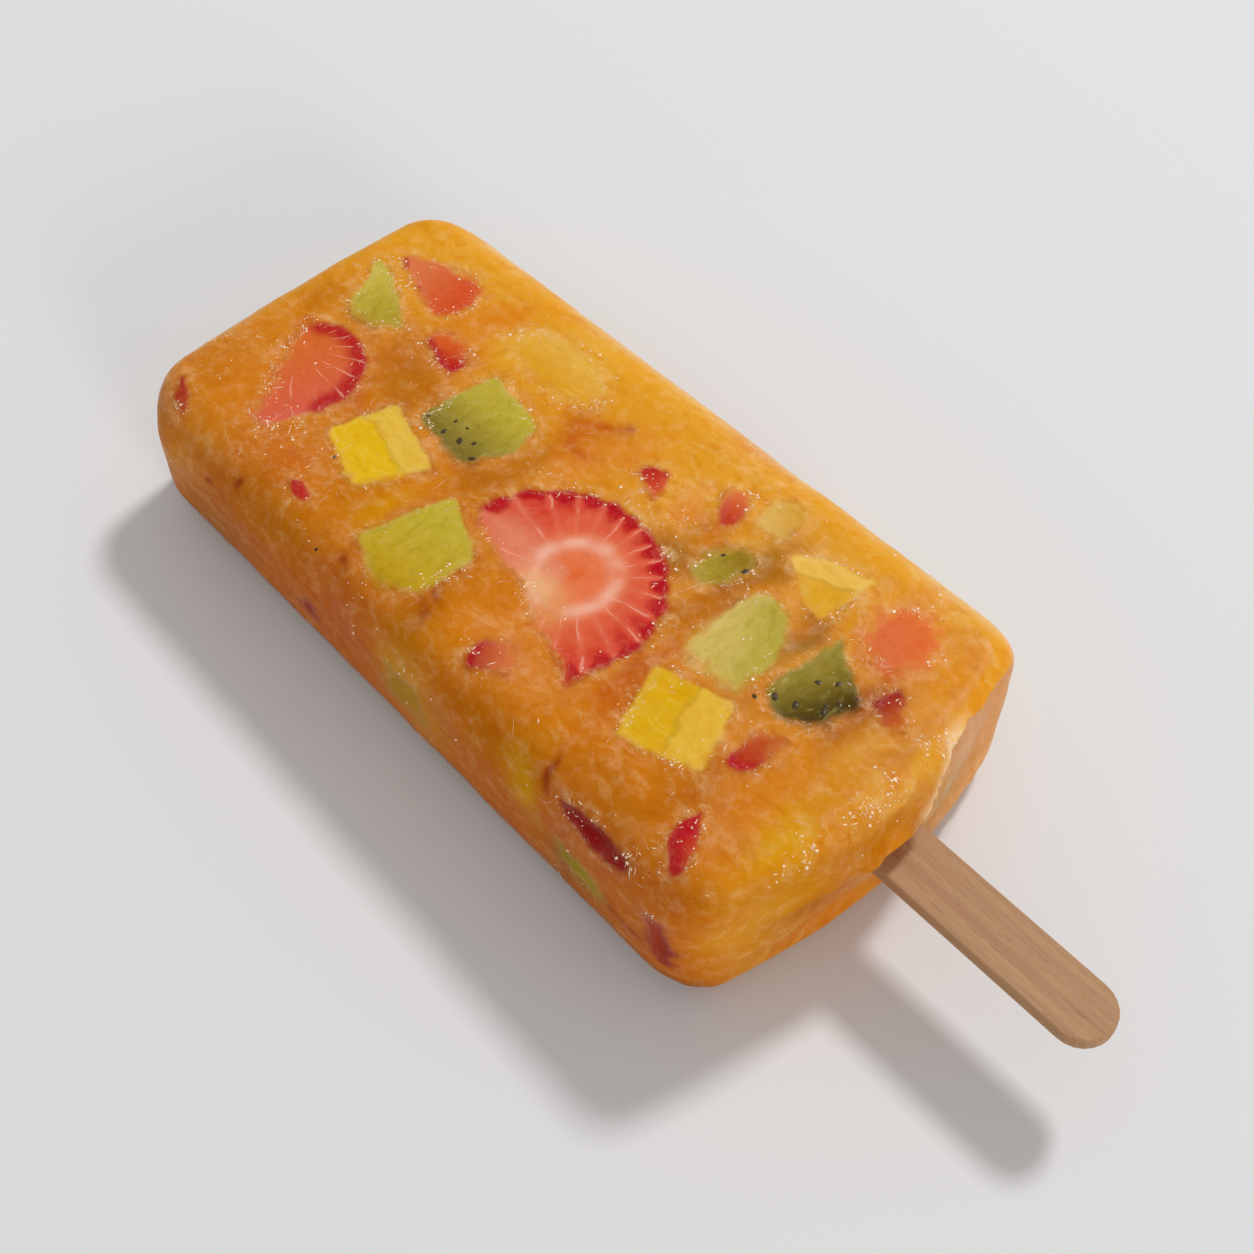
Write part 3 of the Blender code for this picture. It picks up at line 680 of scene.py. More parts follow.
def half_slice_colour(fruit, look, flat):
    """The half strawberry: a core, a pale ring round it, flesh that reddens outwards and a lobed crimson rim."""
    offset = flat - np.array(SLICE_CORE)
    reach = np.hypot(offset[:, 0] / 1.06, offset[:, 1])
    angle = np.arctan2(offset[:, 1], offset[:, 0])
    blotch = wander(np.column_stack([flat, np.zeros(len(flat))]), 2.2, 6)
    colour = mixed(linear((229, 117, 72)), linear((221, 92, 62)), smooth(5.0, 7.5, reach))
    colour = mixed(colour, linear((211, 66, 46)), smooth(7.5, 10.5, reach + blotch))
    colour = mixed(colour, linear((226, 134, 104)), 0.75 * smooth(1.15, 1.7, angle) * smooth(13.5, 7, reach))
    colour = mixed(colour, linear((216, 98, 58)), 0.45 * smooth(-1.2, -2.2, angle) * smooth(5, 8, reach) * smooth(12, 9, reach))
    colour = mixed(colour, linear((232, 134, 106)), 0.25 * ray_share(angle) ** 4 * smooth(4.5, 7, reach))
    ring = np.exp(-(((reach - 4.9) / 0.95) ** 2)) * smooth(-1.4, 0.5, blotch)
    colour = mixed(colour, linear((240, 176, 152)), 0.95 * ring)
    heart = np.exp(-((offset[:, 0] / 1.7) ** 2) - (offset[:, 1] / 0.8) ** 2)
    colour = mixed(colour, linear((222, 96, 34)), 0.8 * heart)
    pale = np.exp(-(((flat[:, 0] + 9.8) / 2.2) ** 2) - ((flat[:, 1] - 44.0) / 3.4) ** 2)
    colour = mixed(colour, linear((236, 182, 128)), 0.85 * pale)
    faded = np.exp(-(((flat[:, 0] + 7.2) / 2.6) ** 2) - ((flat[:, 1] - 54.0) / 3.2) ** 2)
    colour = mixed(colour, linear((228, 152, 112)), 0.55 * faded)
    torn = np.exp(-(((flat[:, 0] + 12.0) / 2.6) ** 2) - ((flat[:, 1] - 40.5) / 2.4) ** 2)
    colour = mixed(colour, linear((220, 140, 74)), 0.8 * torn)
    lobes = look.skin[2] * (1.0 - 0.75 * ray_share(angle) ** 2) * (0.85 + 0.35 * blotch)
    rim = skin_share(fruit, look, flat, np.maximum(0.3, lobes))
    return mixed(colour, linear((180, 16, 30)), rim)


def flesh_colour(fruit, flat):
    """A piece's own colour at each flat point."""
    look = LOOKS[fruit.name]
    if fruit.name == "strawberry_half_slice":
        return half_slice_colour(fruit, look, flat)
    direction = np.array((cos(radians(look.towards)), sin(radians(look.towards))))
    along = (flat - np.array(fruit.centre)) @ direction
    if look.crease is None:
        reach = 0.8 * max(abs((np.array(point) - fruit.centre) @ direction) for point in fruit.outline)
        colour = mixed(linear(look.first), linear(look.second), smooth(-reach, reach, along))
    else:
        sway = wander(np.column_stack([flat, np.full(len(flat), 3.0)]), 1.5, 5)
        bent = along - look.crease + 0.4 * sway
        colour = mixed(linear(look.first), linear(look.second), smooth(-0.4, 0.5, bent))
        # a thin line of painted shade along the crease
        colour *= 1 - 0.16 * np.exp(-((bent / 0.25) ** 2))[:, None]
    if look.skin:
        colour = mixed(colour, linear(CRIMSON), 0.92 * skin_share(fruit, look, flat, look.skin[2]))
    return colour


def fruit_paint(fruit, points):
    """The flesh colour at each point, how much of it shows there, and the point's place in the piece."""
    look = LOOKS[fruit.name]
    flat = np.stack([points @ np.array(fruit.across), points @ np.array(fruit.along)], axis=1)
    inside = -outline_distance(flat, fruit.outline)
    soft = look.soft
    if look.blur:
        facing, softest = look.blur
        aside = (flat - np.array(fruit.centre)) @ np.array((cos(radians(facing)), sin(radians(facing))))
        soft = look.soft + (softest - look.soft) * smooth(0, 0.8, aside / fruit.radius)
    inside += 0.35 * soft * wander(points, 1.3, 8)
    shows = (1 - look.veil) * smooth(-soft, soft, inside)
    core = {"strawberry_half_slice": SLICE_CORE, "strawberry_tip_slice": TIP_SLICE_CORE}.get(fruit.name, fruit.centre)
    place = np.column_stack([flat - np.array(core), inside])
    return flesh_colour(fruit, flat), shows, place


def tinted_ice(points, fruits):
    """The ice's colour, with the fruit colour that spreads out of each piece, a thin line of painted shade along each
    piece, and how broken up the ice is there.
    """
    colour = ice_colour(points)
    busy = 0.35 + 0.45 * wander(points, 9.0, 14)
    for fruit in fruits:
        look = LOOKS[fruit.name]
        reach = EDGE_REACH * 2
        height = points @ np.array(fruit.facing)
        flat = np.stack([points @ np.array(fruit.across), points @ np.array(fruit.along)], axis=1)
        centre = np.array(fruit.centre)
        near = (np.abs(flat - centre).max(axis=1) < fruit.radius + reach) & (height > fruit.deep - 1)
        if near.any():
            flesh, shows, place = fruit_paint(fruit, points[near])
            outside = -place[:, 2]
            colour[near] = mixed(colour[near], flesh, shows)
            # a thin line of painted shade just outside each piece's outline
            edge_shade_line = np.exp(-(((outside - 0.25) / 0.3) ** 2)) * np.clip(0.5 + wander(points[near], 3.0, 15), 0, 1)
            edge_shade_line *= max(0, min(1, 1.2 - look.soft))
            colour[near] *= 1 - EDGE_SHADE * edge_shade_line[:, None] * (1, 1.25, 1.5)
            busy[near] = np.maximum(busy[near], 1.1 * np.exp(-((outside / EDGE_REACH) ** 2)))
    calm = 0.6 * smooth(-21, -26, points[:, 0]) * smooth(18, 14, points[:, 2])
    return colour, np.clip(busy, 0, 1) * (1 - calm)


def store(mesh, name, kind, values):
    """Keeps one value for each of a mesh's points: a FLOAT, a FLOAT_VECTOR or a FLOAT_COLOR."""
    attribute = mesh.attributes.new(name, kind, "POINT")
    if kind == "FLOAT_COLOR":
        values = np.column_stack([values, np.ones(len(values))])
    key = {"FLOAT": "value", "FLOAT_VECTOR": "vector", "FLOAT_COLOR": "color"}[kind]
    attribute.data.foreach_set(key, np.asarray(values, np.float32).ravel())


def points_of(mesh):
    points = np.empty(len(mesh.vertices) * 3, np.float32)
    mesh.vertices.foreach_get("co", points)
    return points.reshape(-1, 3).astype(float)


# --- Relief ----------------------------------------------------------------------------------------------


def end_relief(points):
    """How far the stick end stands out beyond its dome: a crest over the stick, and the sunk face under it."""
    x, _, z = points.T
    below = below_crest(points)
    sunk = smooth(0.2, 1.8, below) * smooth(-20, -6, x) * smooth(25, 19, x) * smooth(3.5, 7.5, z)
    ridge = np.exp(-((below / 0.7) ** 2)) * smooth(-18, 2, x) * smooth(20, 12, x)
    streaks = 0.12 * np.abs(wander(points * (1, 1, 0.25), 1.1, 17)) * smooth(4, 9, x) * smooth(0, 2, below)
    wet = 0.16 * np.abs(wander(points, 1.5, 4)) * smooth(18.5, 21.5, z)
    return (0.4 * ridge - SUNK_FACE * sunk + streaks + wet) * smooth(2.0, -1.0, points[:, 1])


def roughened(mesh):
    """Moves the surface's points in and out: the mould's soft waves, small pits, and the poured end."""
    points = points_of(mesh)
    normals = np.empty(len(mesh.vertices) * 3, np.float32)
    mesh.vertex_normals.foreach_get("vector", normals)
    normals = normals.reshape(-1, 3)
    height = WAVE * wander(points, WAVE_LENGTH, 1) + PIT * wander(points, PIT_LENGTH, 2)
    height *= smooth(0.4, 3.0, points[:, 2])
    points += normals * height[:, None]
    points[:, 1] -= end_relief(points) * np.maximum(0, -normals[:, 1])
    mesh.vertices.foreach_set("co", points.astype(np.float32).ravel())
    mesh.update()


# --- Materials -------------------------------------------------------------------------------------------


class Graph:
    """A material's nodes, with short calls for the ones that are used here."""

    def __init__(self, name):
        self.material = bpy.data.materials.new(name)
        self.material.use_nodes = True
        self.tree = self.material.node_tree
        self.shader = self.tree.nodes["Principled BSDF"]

    def join(self, value, socket):
        if isinstance(value, bpy.types.NodeSocket):
            self.tree.links.new(value, socket)
        else:
            socket.default_value = value

    def node(self, kind, settings=(), inputs=()):
        made = self.tree.nodes.new("ShaderNode" + kind)
        for name, value in dict(settings).items():
            setattr(made, name, value)
        for name, value in dict(inputs).items():
            self.join(value, made.inputs[name])
        return made

    def set(self, name, value):
        self.join(value, self.shader.inputs[name])

    def attribute(self, name, output="Fac"):
        return self.node("Attribute", {"attribute_name": name}).outputs[output]

    def math(self, operation, first, second=0.0, clamp=False):
        settings = {"operation": operation, "use_clamp": clamp}
        return self.node("Math", settings, {0: first, 1: second}).outputs[0]

    def scaled(self, vector, scale):
        """A vector times one number, or times one number for each axis."""
        if isinstance(scale, (int, float)):
            scale = (scale, scale, scale)
        made = self.node("VectorMath", {"operation": "MULTIPLY"}, {0: vector, 1: scale})
        return made.outputs[0]

    def millimetres(self):
        return self.scaled(self.node("TexCoord").outputs["Object"], 1 / MM)

    def turned(self, vector, angles, scale):
        inputs = {"Vector": vector, "Rotation": tuple(radians(a) for a in angles), "Scale": scale}
        return self.node("Mapping", (), inputs).outputs[0]

    def noise(self, vector, scale, detail=2.0, rough=0.5, output="Fac"):
        inputs = {"Vector": vector, "Scale": scale, "Detail": detail, "Roughness": rough}
        return self.node("TexNoise", (), inputs).outputs[output]

    def smooth(self, value, low, high, start=0.0, end=1.0):
        """Eases from start, where the value is low, to end, where it is high."""
        inputs = {"Value": value, "From Min": low, "From Max": high, "To Min": start, "To Max": end}
        return self.node("MapRange", {"interpolation_type": "SMOOTHSTEP"}, inputs).outputs[0]

    def mix(self, share, first, second, blend="MIX"):
        made = self.node("Mix", {"data_type": "RGBA", "blend_type": blend})
        self.join(share, made.inputs["Factor"])
        colours = [socket for socket in made.inputs if socket.type == "RGBA"]
        for socket, value in zip(colours, (first, second)):
            self.join(value, socket)
        return next(socket for socket in made.outputs if socket.type == "RGBA")

    def bump(self, height, strength, distance):
        inputs = {"Height": height, "Strength": strength, "Distance": distance * MM}
        return self.node("Bump", (), inputs).outputs[0]


def rgba(colour):
    return (*linear(colour), 1)


def threads(graph, place, angles, scale, width, cover):
    """Short curved fibres: the level lines of a stretched noise, broken up by a second noise."""
    bent = graph.turned(place, angles, (scale, scale / 2.6, scale))
    level = graph.math("ABSOLUTE", graph.math("SUBTRACT", graph.noise(bent, 1.0, 2.0, 0.55), 0.5))
    line = graph.smooth(level, 0.0, width, 1.0, 0.0)
    there = graph.smooth(graph.noise(bent, 0.8, 1.0), cover, cover + 0.12)
    return graph.math("MULTIPLY", line, there)


def crinkles(graph, place, scale, width):
    """A net of fine crinkled lines: the walls between cells whose places are pushed about."""
    push = graph.scaled(graph.noise(place, 0.9, 3.0, 0.6, "Color"), 2.4)
    bent = graph.node("VectorMath", {"operation": "ADD"}, {0: place, 1: push}).outputs[0]
    cells = graph.node("TexVoronoi", {"feature": "DISTANCE_TO_EDGE"}, {"Vector": bent, "Scale": scale})
    return graph.smooth(cells.outputs["Distance"], 0.0, width, 1.0, 0.0)


def veiled(graph, colour, place, busy, strength):
    """The colour with what swirls in the ice: clear deep streaks, milky streaks and a fine uneven veil."""
    push = graph.scaled(graph.noise(place, 0.16, 3.0, 0.6, "Color"), 7.0)
    swirled = graph.node("VectorMath", {"operation": "ADD"}, {0: place, 1: push}).outputs[0]
    marble = graph.noise(graph.turned(swirled, (0, 0, 30), (0.62, 0.24, 0.5)), 1.0, 5.0, 0.66)
    veil = graph.noise(place, 0.6, 3.0, 0.55)
    depth = graph.smooth(busy, 0.0, 1.0, 0.6 * strength, strength)
    deep = graph.mix(1.0, colour, (0.93, 0.78, 0.30, 1), "MULTIPLY")
    colour = graph.mix(graph.math("MULTIPLY", graph.smooth(marble, 0.48, 0.35), depth), colour, deep)
    milky = graph.mix(0.22, colour, rgba((246, 208, 146)))
    colour = graph.mix(graph.math("MULTIPLY", graph.smooth(marble, 0.51, 0.68), depth), colour, milky)
    clear = graph.mix(1.0, colour, (0.98, 0.92, 0.45, 1), "MULTIPLY")
    colour = graph.mix(graph.math("MULTIPLY", graph.smooth(veil, 0.50, 0.32, 0.0, 0.7), depth), colour, clear)
    milky = graph.mix(0.13, colour, rgba((250, 216, 166)))
    return graph.mix(graph.math("MULTIPLY", graph.smooth(veil, 0.50, 0.70), depth), colour, milky), marble


def frosted(graph, colour, strength):
    """Adds what the wet frozen surface has everywhere: its veils, pulp fibres, grain, gloss and their bumps."""
    place = graph.millimetres()
    busy = graph.attribute("busy")
    colour, marble = veiled(graph, colour, place, busy, strength)
    grain = graph.noise(place, 2.6, 3.0, 0.65)
    fine = threads(graph, place, (0, 0, 35), 0.7, 0.022, 0.54)
    cross = threads(graph, place, (20, 0, -48), 0.5, 0.014, 0.56)
    broken = graph.smooth(graph.noise(place, 0.5, 2.0), 0.44, 0.66)
    net = graph.math("MULTIPLY", crinkles(graph, place, 0.5, 0.07), broken)
    fibres = graph.math("MAXIMUM", graph.math("MAXIMUM", fine, cross), net)
    fibres = graph.math("MULTIPLY", fibres, graph.smooth(busy, 0.4, 1.0, 0.0, 1.0))
    bright = graph.mix(0.22, colour, rgba((252, 220, 166)))
    relief = graph.math("ADD", graph.math("MULTIPLY", fibres, 0.6), graph.math("MULTIPLY", marble, 1.5))
    wet = graph.math("ADD", relief, graph.math("MULTIPLY", grain, 1.3))
    wet = graph.math("MULTIPLY", wet, graph.smooth(busy, 0.2, 1.0, 0.12, 1.0))
    graph.set("Base Color", graph.mix(graph.math("MULTIPLY", fibres, strength), colour, bright))
    graph.set("Normal", graph.bump(relief, 0.22, 0.18))
    graph.set("Coat Normal", graph.bump(wet, 0.9, 0.22))
    graph.set("Roughness", graph.smooth(grain, 0.3, 0.7, 0.28, 0.40))
    graph.set("IOR", 1.31)
    graph.set("Specular IOR Level", 0.05)
    graph.set("Coat Weight", graph.smooth(busy, 0.0, 1.0, 0.03, 0.55))
    graph.set("Coat Roughness", 0.06)
    graph.set("Coat IOR", 1.33)


def ice_material():
    graph = Graph("amber_ice")
    frosted(graph, graph.attribute("tint", "Color"), 1.0)
    return graph.material


def strawberry_flesh(graph, flesh, place):
    """Pale rays from the core to the rim, and fine pale dots."""
    split = graph.node("SeparateXYZ", (), {0: place}).outputs
    angle = graph.math("ARCTAN2", split["Y"], split["X"])
    sway = graph.math("SINE", graph.math("ADD", graph.math("MULTIPLY", angle, 2.0), 0.6))
    phase = graph.math("ADD", graph.math("MULTIPLY", angle, SLICE_RAYS), graph.math("MULTIPLY", sway, RAY_SWAY))
    wobble = graph.math("MULTIPLY", graph.math("SUBTRACT", graph.noise(place, 0.28, 2.0), 0.5), 2.4)
    peak = graph.math("COSINE", graph.math("ADD", phase, wobble))
    flat = graph.math("SQRT", graph.math("ADD", graph.math("MULTIPLY", split["X"], split["X"]),
                                         graph.math("MULTIPLY", split["Y"], split["Y"])))
    ray = graph.math("MULTIPLY", graph.smooth(peak, 0.90, 1.0), graph.smooth(flat, 4.4, 5.6))
    ray = graph.math("MULTIPLY", ray, graph.smooth(graph.noise(place, 0.30, 1.0), 0.44, 0.66, 0.0, 0.5))
    flesh = graph.mix(ray, flesh, rgba((242, 172, 150)))
    mottle = graph.noise(place, 1.3, 4.0, 0.65)
    flesh = graph.mix(graph.smooth(mottle, 0.50, 0.78, 0.0, 0.3), flesh, rgba((232, 128, 96)))
    return graph.mix(graph.smooth(mottle, 0.46, 0.25, 0.0, 0.25), flesh, rgba((196, 40, 24)))


def kiwi_flesh(graph, flesh, place):
    """Streaks that run across the piece."""
    streaked = graph.turned(place, (0, 0, 12), (0.30, 0.9, 1.0))
    streak = graph.noise(streaked, 1.0, 4.0, 0.65)
    deep = graph.mix(1.0, flesh, (0.70, 0.74, 0.40, 1), "MULTIPLY")
    pale = graph.mix(0.35, flesh, rgba((214, 204, 110)))
    flesh = graph.mix(graph.smooth(streak, 0.52, 0.30, 0.0, 0.6), flesh, deep)
    return graph.mix(graph.smooth(streak, 0.54, 0.75, 0.0, 0.7), flesh, pale)


def mango_flesh(graph, flesh, place):
    """Faint fibres along the piece."""
    streaked = graph.turned(place, (0, 0, 25), (0.9, 0.22, 1.0))
    streak = graph.noise(streaked, 1.0, 3.0, 0.6)
    deep = graph.mix(graph.smooth(streak, 0.5, 0.3, 0.0, 0.4), flesh, rgba((214, 148, 6)))
    return graph.mix(graph.smooth(streak, 0.55, 0.75, 0.0, 0.4), deep, rgba((240, 204, 96)))


def peach_flesh(graph, flesh, place):
    mottle = graph.noise(place, 0.8, 3.0, 0.6)
    return graph.mix(graph.smooth(mottle, 0.4, 0.7, 0.0, 0.4), flesh, rgba((238, 166, 84)))


def fruit_material(kind, flesh_of):
    graph = Graph("frozen_" + kind)
    place = graph.attribute("place", "Vector")
    flesh = flesh_of(graph, graph.attribute("flesh", "Color"), place)
    colour = graph.mix(graph.attribute("shows"), graph.attribute("tint", "Color"), flesh)
    frosted(graph, colour, 0.4 if kind != "strawberry" else 0.22)
    return graph.material


def seed_material():
    graph = Graph("kiwi_seed")
    place = graph.millimetres()
    mottle = graph.noise(place, 1.6, 2.0)
    graph.set("Base Color", graph.mix(mottle, rgba((44, 32, 10)), rgba((84, 64, 24))))
    graph.set("Roughness", graph.smooth(mottle, 0.3, 0.7, 0.35, 0.55))
    graph.set("Specular IOR Level", 0.2)
    graph.set("Coat Weight", 0.15)
    graph.set("Coat Roughness", 0.1)
    return graph.material


def painted_ice_material(name, pale, roughness):
    """Ice that takes its colour from the surface that it lies on, a little paler; where pale is near 1, as on the beads
    and glints, the near-white is a painted highlight.
    """
    graph = Graph(name)
    tint = graph.attribute("tint", "Color")
    mottle = graph.noise(graph.millimetres(), 0.9, 2.0)
    share = graph.smooth(mottle, 0.3, 0.6, pale * 0.5, pale)
    graph.set("Base Color", graph.mix(share, tint, rgba((255, 232, 200))))
    graph.set("Roughness", graph.smooth(mottle, 0.3, 0.7, roughness, roughness * 1.6))
    graph.set("IOR", 1.31)
    graph.set("Coat Weight", 0.8)
    graph.set("Coat Roughness", 0.05)
    graph.set("Coat IOR", 1.33)
    return graph.material


def wood_material():
    """Bare birch: bands and dark dashes of grain along the stick."""
    graph = Graph("birch")
    place = graph.millimetres()
    bands = graph.noise(graph.scaled(place, (0.9, 0.035, 0.9)), 1.0, 4.0, 0.6)
    dashes = graph.noise(graph.scaled(place, (3.6, 0.28, 3.6)), 1.0, 3.0, 0.6)
    fine = graph.noise(graph.scaled(place, (9.0, 0.6, 9.0)), 1.0, 2.0, 0.6)
    colour = graph.mix(graph.smooth(bands, 0.3, 0.7), rgba((163, 117, 77)), rgba((180, 137, 95)))
    colour = graph.mix(graph.smooth(dashes, 0.42, 0.28, 0.0, 0.6), colour, rgba((122, 80, 46)))
    colour = graph.mix(graph.smooth(fine, 0.5, 0.8, 0.0, 0.35), colour, rgba((200, 160, 120)))
    height = graph.math("ADD", dashes, graph.math("MULTIPLY", fine, 0.5))
    graph.set("Base Color", colour)
    graph.set("Normal", graph.bump(height, 0.5, 0.12))
    graph.set("Roughness", graph.smooth(fine, 0.3, 0.7, 0.55, 0.75))
    return graph.material


# --- Pieces ----------------------------------------------------------------------------------------------


def in_metres(mesh):
    mesh.transform(Matrix.Translation((0, BLOCK_START * MM, 0)) @ Matrix.Scale(MM, 4))


def add_piece(name, mesh, material, slot, *nodes):
    """Puts a finished mesh into the scene, riding on the lolly and standing for the solids named."""
    mesh.materials.clear()
    mesh.materials.append(material)
    mesh.shade_smooth()
    mesh.set_sharp_from_angle(angle=radians(SHARP_ANGLE))
    piece = bpy.data.objects.new(name, mesh)
    bpy.context.scene.collection.objects.link(piece)
    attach(piece, "root")
    if nodes:
        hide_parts(*nodes)
    return piece


def mesh_from(bm, name):
    mesh = bpy.data.meshes.new(name)
    bm.to_mesh(mesh)
    bm.free()
    return mesh


def cut(block, cutters, operation):
    """The block's mesh after one Boolean with all the cutters."""
    target = bpy.data.objects.new("target", block)
    tool = bpy.data.objects.new("tool", cutters)
    for helper in (target, tool):
        bpy.context.scene.collection.objects.link(helper)
    boolean = target.modifiers.new("Cut", "BOOLEAN")
    boolean.operation = operation
    boolean.solver = "EXACT"
    boolean.object = tool
    depsgraph = bpy.context.evaluated_depsgraph_get()
    result = bpy.data.meshes.new_from_object(target.evaluated_get(depsgraph))
    for helper in (target, tool):
        bpy.data.objects.remove(helper)
    return result


def separate(mesh):
    """The separate bodies of a mesh, each as a mesh of its own."""
    bm = bmesh.new()
    bm.from_mesh(mesh)
    left = set(bm.verts)
    bodies = []
    while left:
        body = [left.pop()]
        for vert in body:
            for edge in vert.link_edges:
                other = edge.other_vert(vert)
                if other in left:
                    left.remove(other)
                    body.append(other)
        bodies.append(body)
    meshes = []
    for body in bodies:
        part = bmesh.new()
        copies = {vert: part.verts.new(vert.co) for vert in body}
        for face in {face for vert in body for face in vert.link_faces}:
            part.faces.new([copies[vert] for vert in face.verts])
        bmesh.ops.recalc_face_normals(part, faces=part.faces)
        meshes.append(mesh_from(part, "body"))
    bm.free()
    return meshes


def dress_fruit(fruit, mesh, fruits, material):
    bm = bmesh.new()
    bm.from_mesh(mesh)
    face = [e for e in bm.edges if any(f.normal.dot(fruit.facing) > 0.2 for f in e.link_faces)]
    bmesh.ops.triangulate(bm, faces=[f for f in bm.faces if len(f.verts) > 4])
    face = [e for e in bm.edges if e.is_valid and all(f.normal.dot(fruit.facing) > 0.2 for f in e.link_faces)]
    bmesh.ops.subdivide_edges(bm, edges=face, cuts=1, use_grid_fill=True)
    bmesh.ops.triangulate(bm, faces=[f for f in bm.faces if len(f.verts) > 4])
    mesh = mesh_from(bm, fruit.name)
    points = points_of(mesh)
    flesh, shows, place = fruit_paint(fruit, points)
    store(mesh, "tint", "FLOAT_COLOR", ice_colour(points))
    store(mesh, "flesh", "FLOAT_COLOR", flesh)
    store(mesh, "shows", "FLOAT", shows)
    store(mesh, "place", "FLOAT_VECTOR", place)
    store(mesh, "busy", "FLOAT", 0.9 * np.exp(-((place[:, 2] / 0.9) ** 2)))
    in_metres(mesh)
    add_piece("frozen_" + fruit.name, mesh, material, fruit.kind, fruit.name)


def slot_for_stick(bm):
    """Adds the cutter for the stick, which the ice grips closely."""
    low, high = (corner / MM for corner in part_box("stick"))
    size = high - low + Vector((STICK_CLEARANCE, 2, STICK_CLEARANCE)) * 2
    middle = (low + high) / 2 - Vector((0, BLOCK_START + 2, 0))
    place = Matrix.Translation(middle) @ Matrix.Diagonal((*size, 1))
    bmesh.ops.create_cube(bm, size=1, matrix=place)


def seed_shape(bm, place, turn, length, width):
    """Adds one drop-shaped seed, half sunk at its place."""
    made = bmesh.ops.create_uvsphere(bm, u_segments=12, v_segments=8, radius=0.5)
    for vert in made["verts"]:
        taper = 1 - 0.35 * max(0, vert.co.x * 2)
        vert.co = Vector((vert.co.x * length, vert.co.y * width * taper, vert.co.z * width * 0.5 * taper))
    bmesh.ops.transform(bm, verts=made["verts"], matrix=place @ Matrix.Rotation(turn, 4, "Z"))


def on_surface(tree, start, facing):
    """The surface's point and normal under a point, looking against the direction that the face looks in."""
    start = Vector(start)
    point, normal, _, _ = tree.ray_cast(start + facing * 20, -facing)
    return point, normal


def upright(point, normal):
    """A frame at a surface's point, its Z along the surface's normal."""
    return Matrix.Translation(point) @ normal.to_track_quat("Z", "Y").to_matrix().to_4x4()


def add_seeds(tree, random):
    bm = bmesh.new()
    for name, seeds in KIWI_SEEDS.items():
        for x, y in seeds:
            point, normal = on_surface(tree, (x, y, 20), UP)
            size = random.uniform(0.85, 1.15)
            place = upright(point - normal * SEED_SUNK, normal)
            seed_shape(bm, place, random.uniform(0, 2 * pi), SEED_LENGTH * size, SEED_WIDTH * size)
    for seed in LOOSE_SEEDS:
        point, normal, _, _ = tree.find_nearest(Vector(seed))
        size = random.uniform(0.45, 0.9)
        place = upright(point - normal * SEED_SUNK * size, normal)
        seed_shape(bm, place, random.uniform(0, 2 * pi), SEED_LENGTH * size, SEED_WIDTH * size)
    mesh = mesh_from(bm, "kiwi_seeds")
    in_metres(mesh)
    add_piece("kiwi_seeds", mesh, seed_material(), "kiwi")


def sliver(bm, tree, start, heading, length, bend, width, height):
    """Adds one fibre of pulp: a low curved ridge that follows the surface and tapers to both ends."""
    point, normal, _, _ = tree.find_nearest(start)
    rings = []
    step = length / SLIVER_STEPS
    for i in range(SLIVER_STEPS + 1):
        share = sin(pi * i / SLIVER_STEPS)
        aside = normal.cross(heading).normalized()
        heading = aside.cross(normal).normalized()
        half, rise = max(0.02, share * width / 2), share * height
        rings.append([bm.verts.new(point + aside * half - normal * SLIVER_SUNK),
                      bm.verts.new(point + normal * rise),
                      bm.verts.new(point - aside * half - normal * SLIVER_SUNK)])
        heading = (heading + aside * bend * step).normalized()
        point, normal, _, _ = tree.find_nearest(point + heading * step)
    for low, high in zip(rings, rings[1:]):
        for i in range(3):
            j = (i + 1) % 3
            bm.faces.new((low[i], high[i], high[j], low[j]))
    bm.faces.new(rings[0])
    bm.faces.new(rings[-1][::-1])


def scattered(random, shares, count):
    """Picks places on the surface, more of them where their shares are high."""
    return random.choice(len(shares), size=count, replace=False, p=shares / shares.sum())


def dashes(tree, block_points, block_normals, shares, random, count, longest, widths, heights):
    """Short curved ridges scattered on the surface, as one mesh."""
    bm = bmesh.new()
    for i in scattered(random, shares, count):
        heading = Vector(block_normals[i]).cross(Vector(random.normal(size=3))).normalized()
        length = min(longest, random.lognormal(0, 0.55) * longest / 3)
        sliver(bm, tree, Vector(block_points[i]), heading, length, random.uniform(-0.9, 0.9),
               random.uniform(*widths), random.uniform(*heights))
    return bm


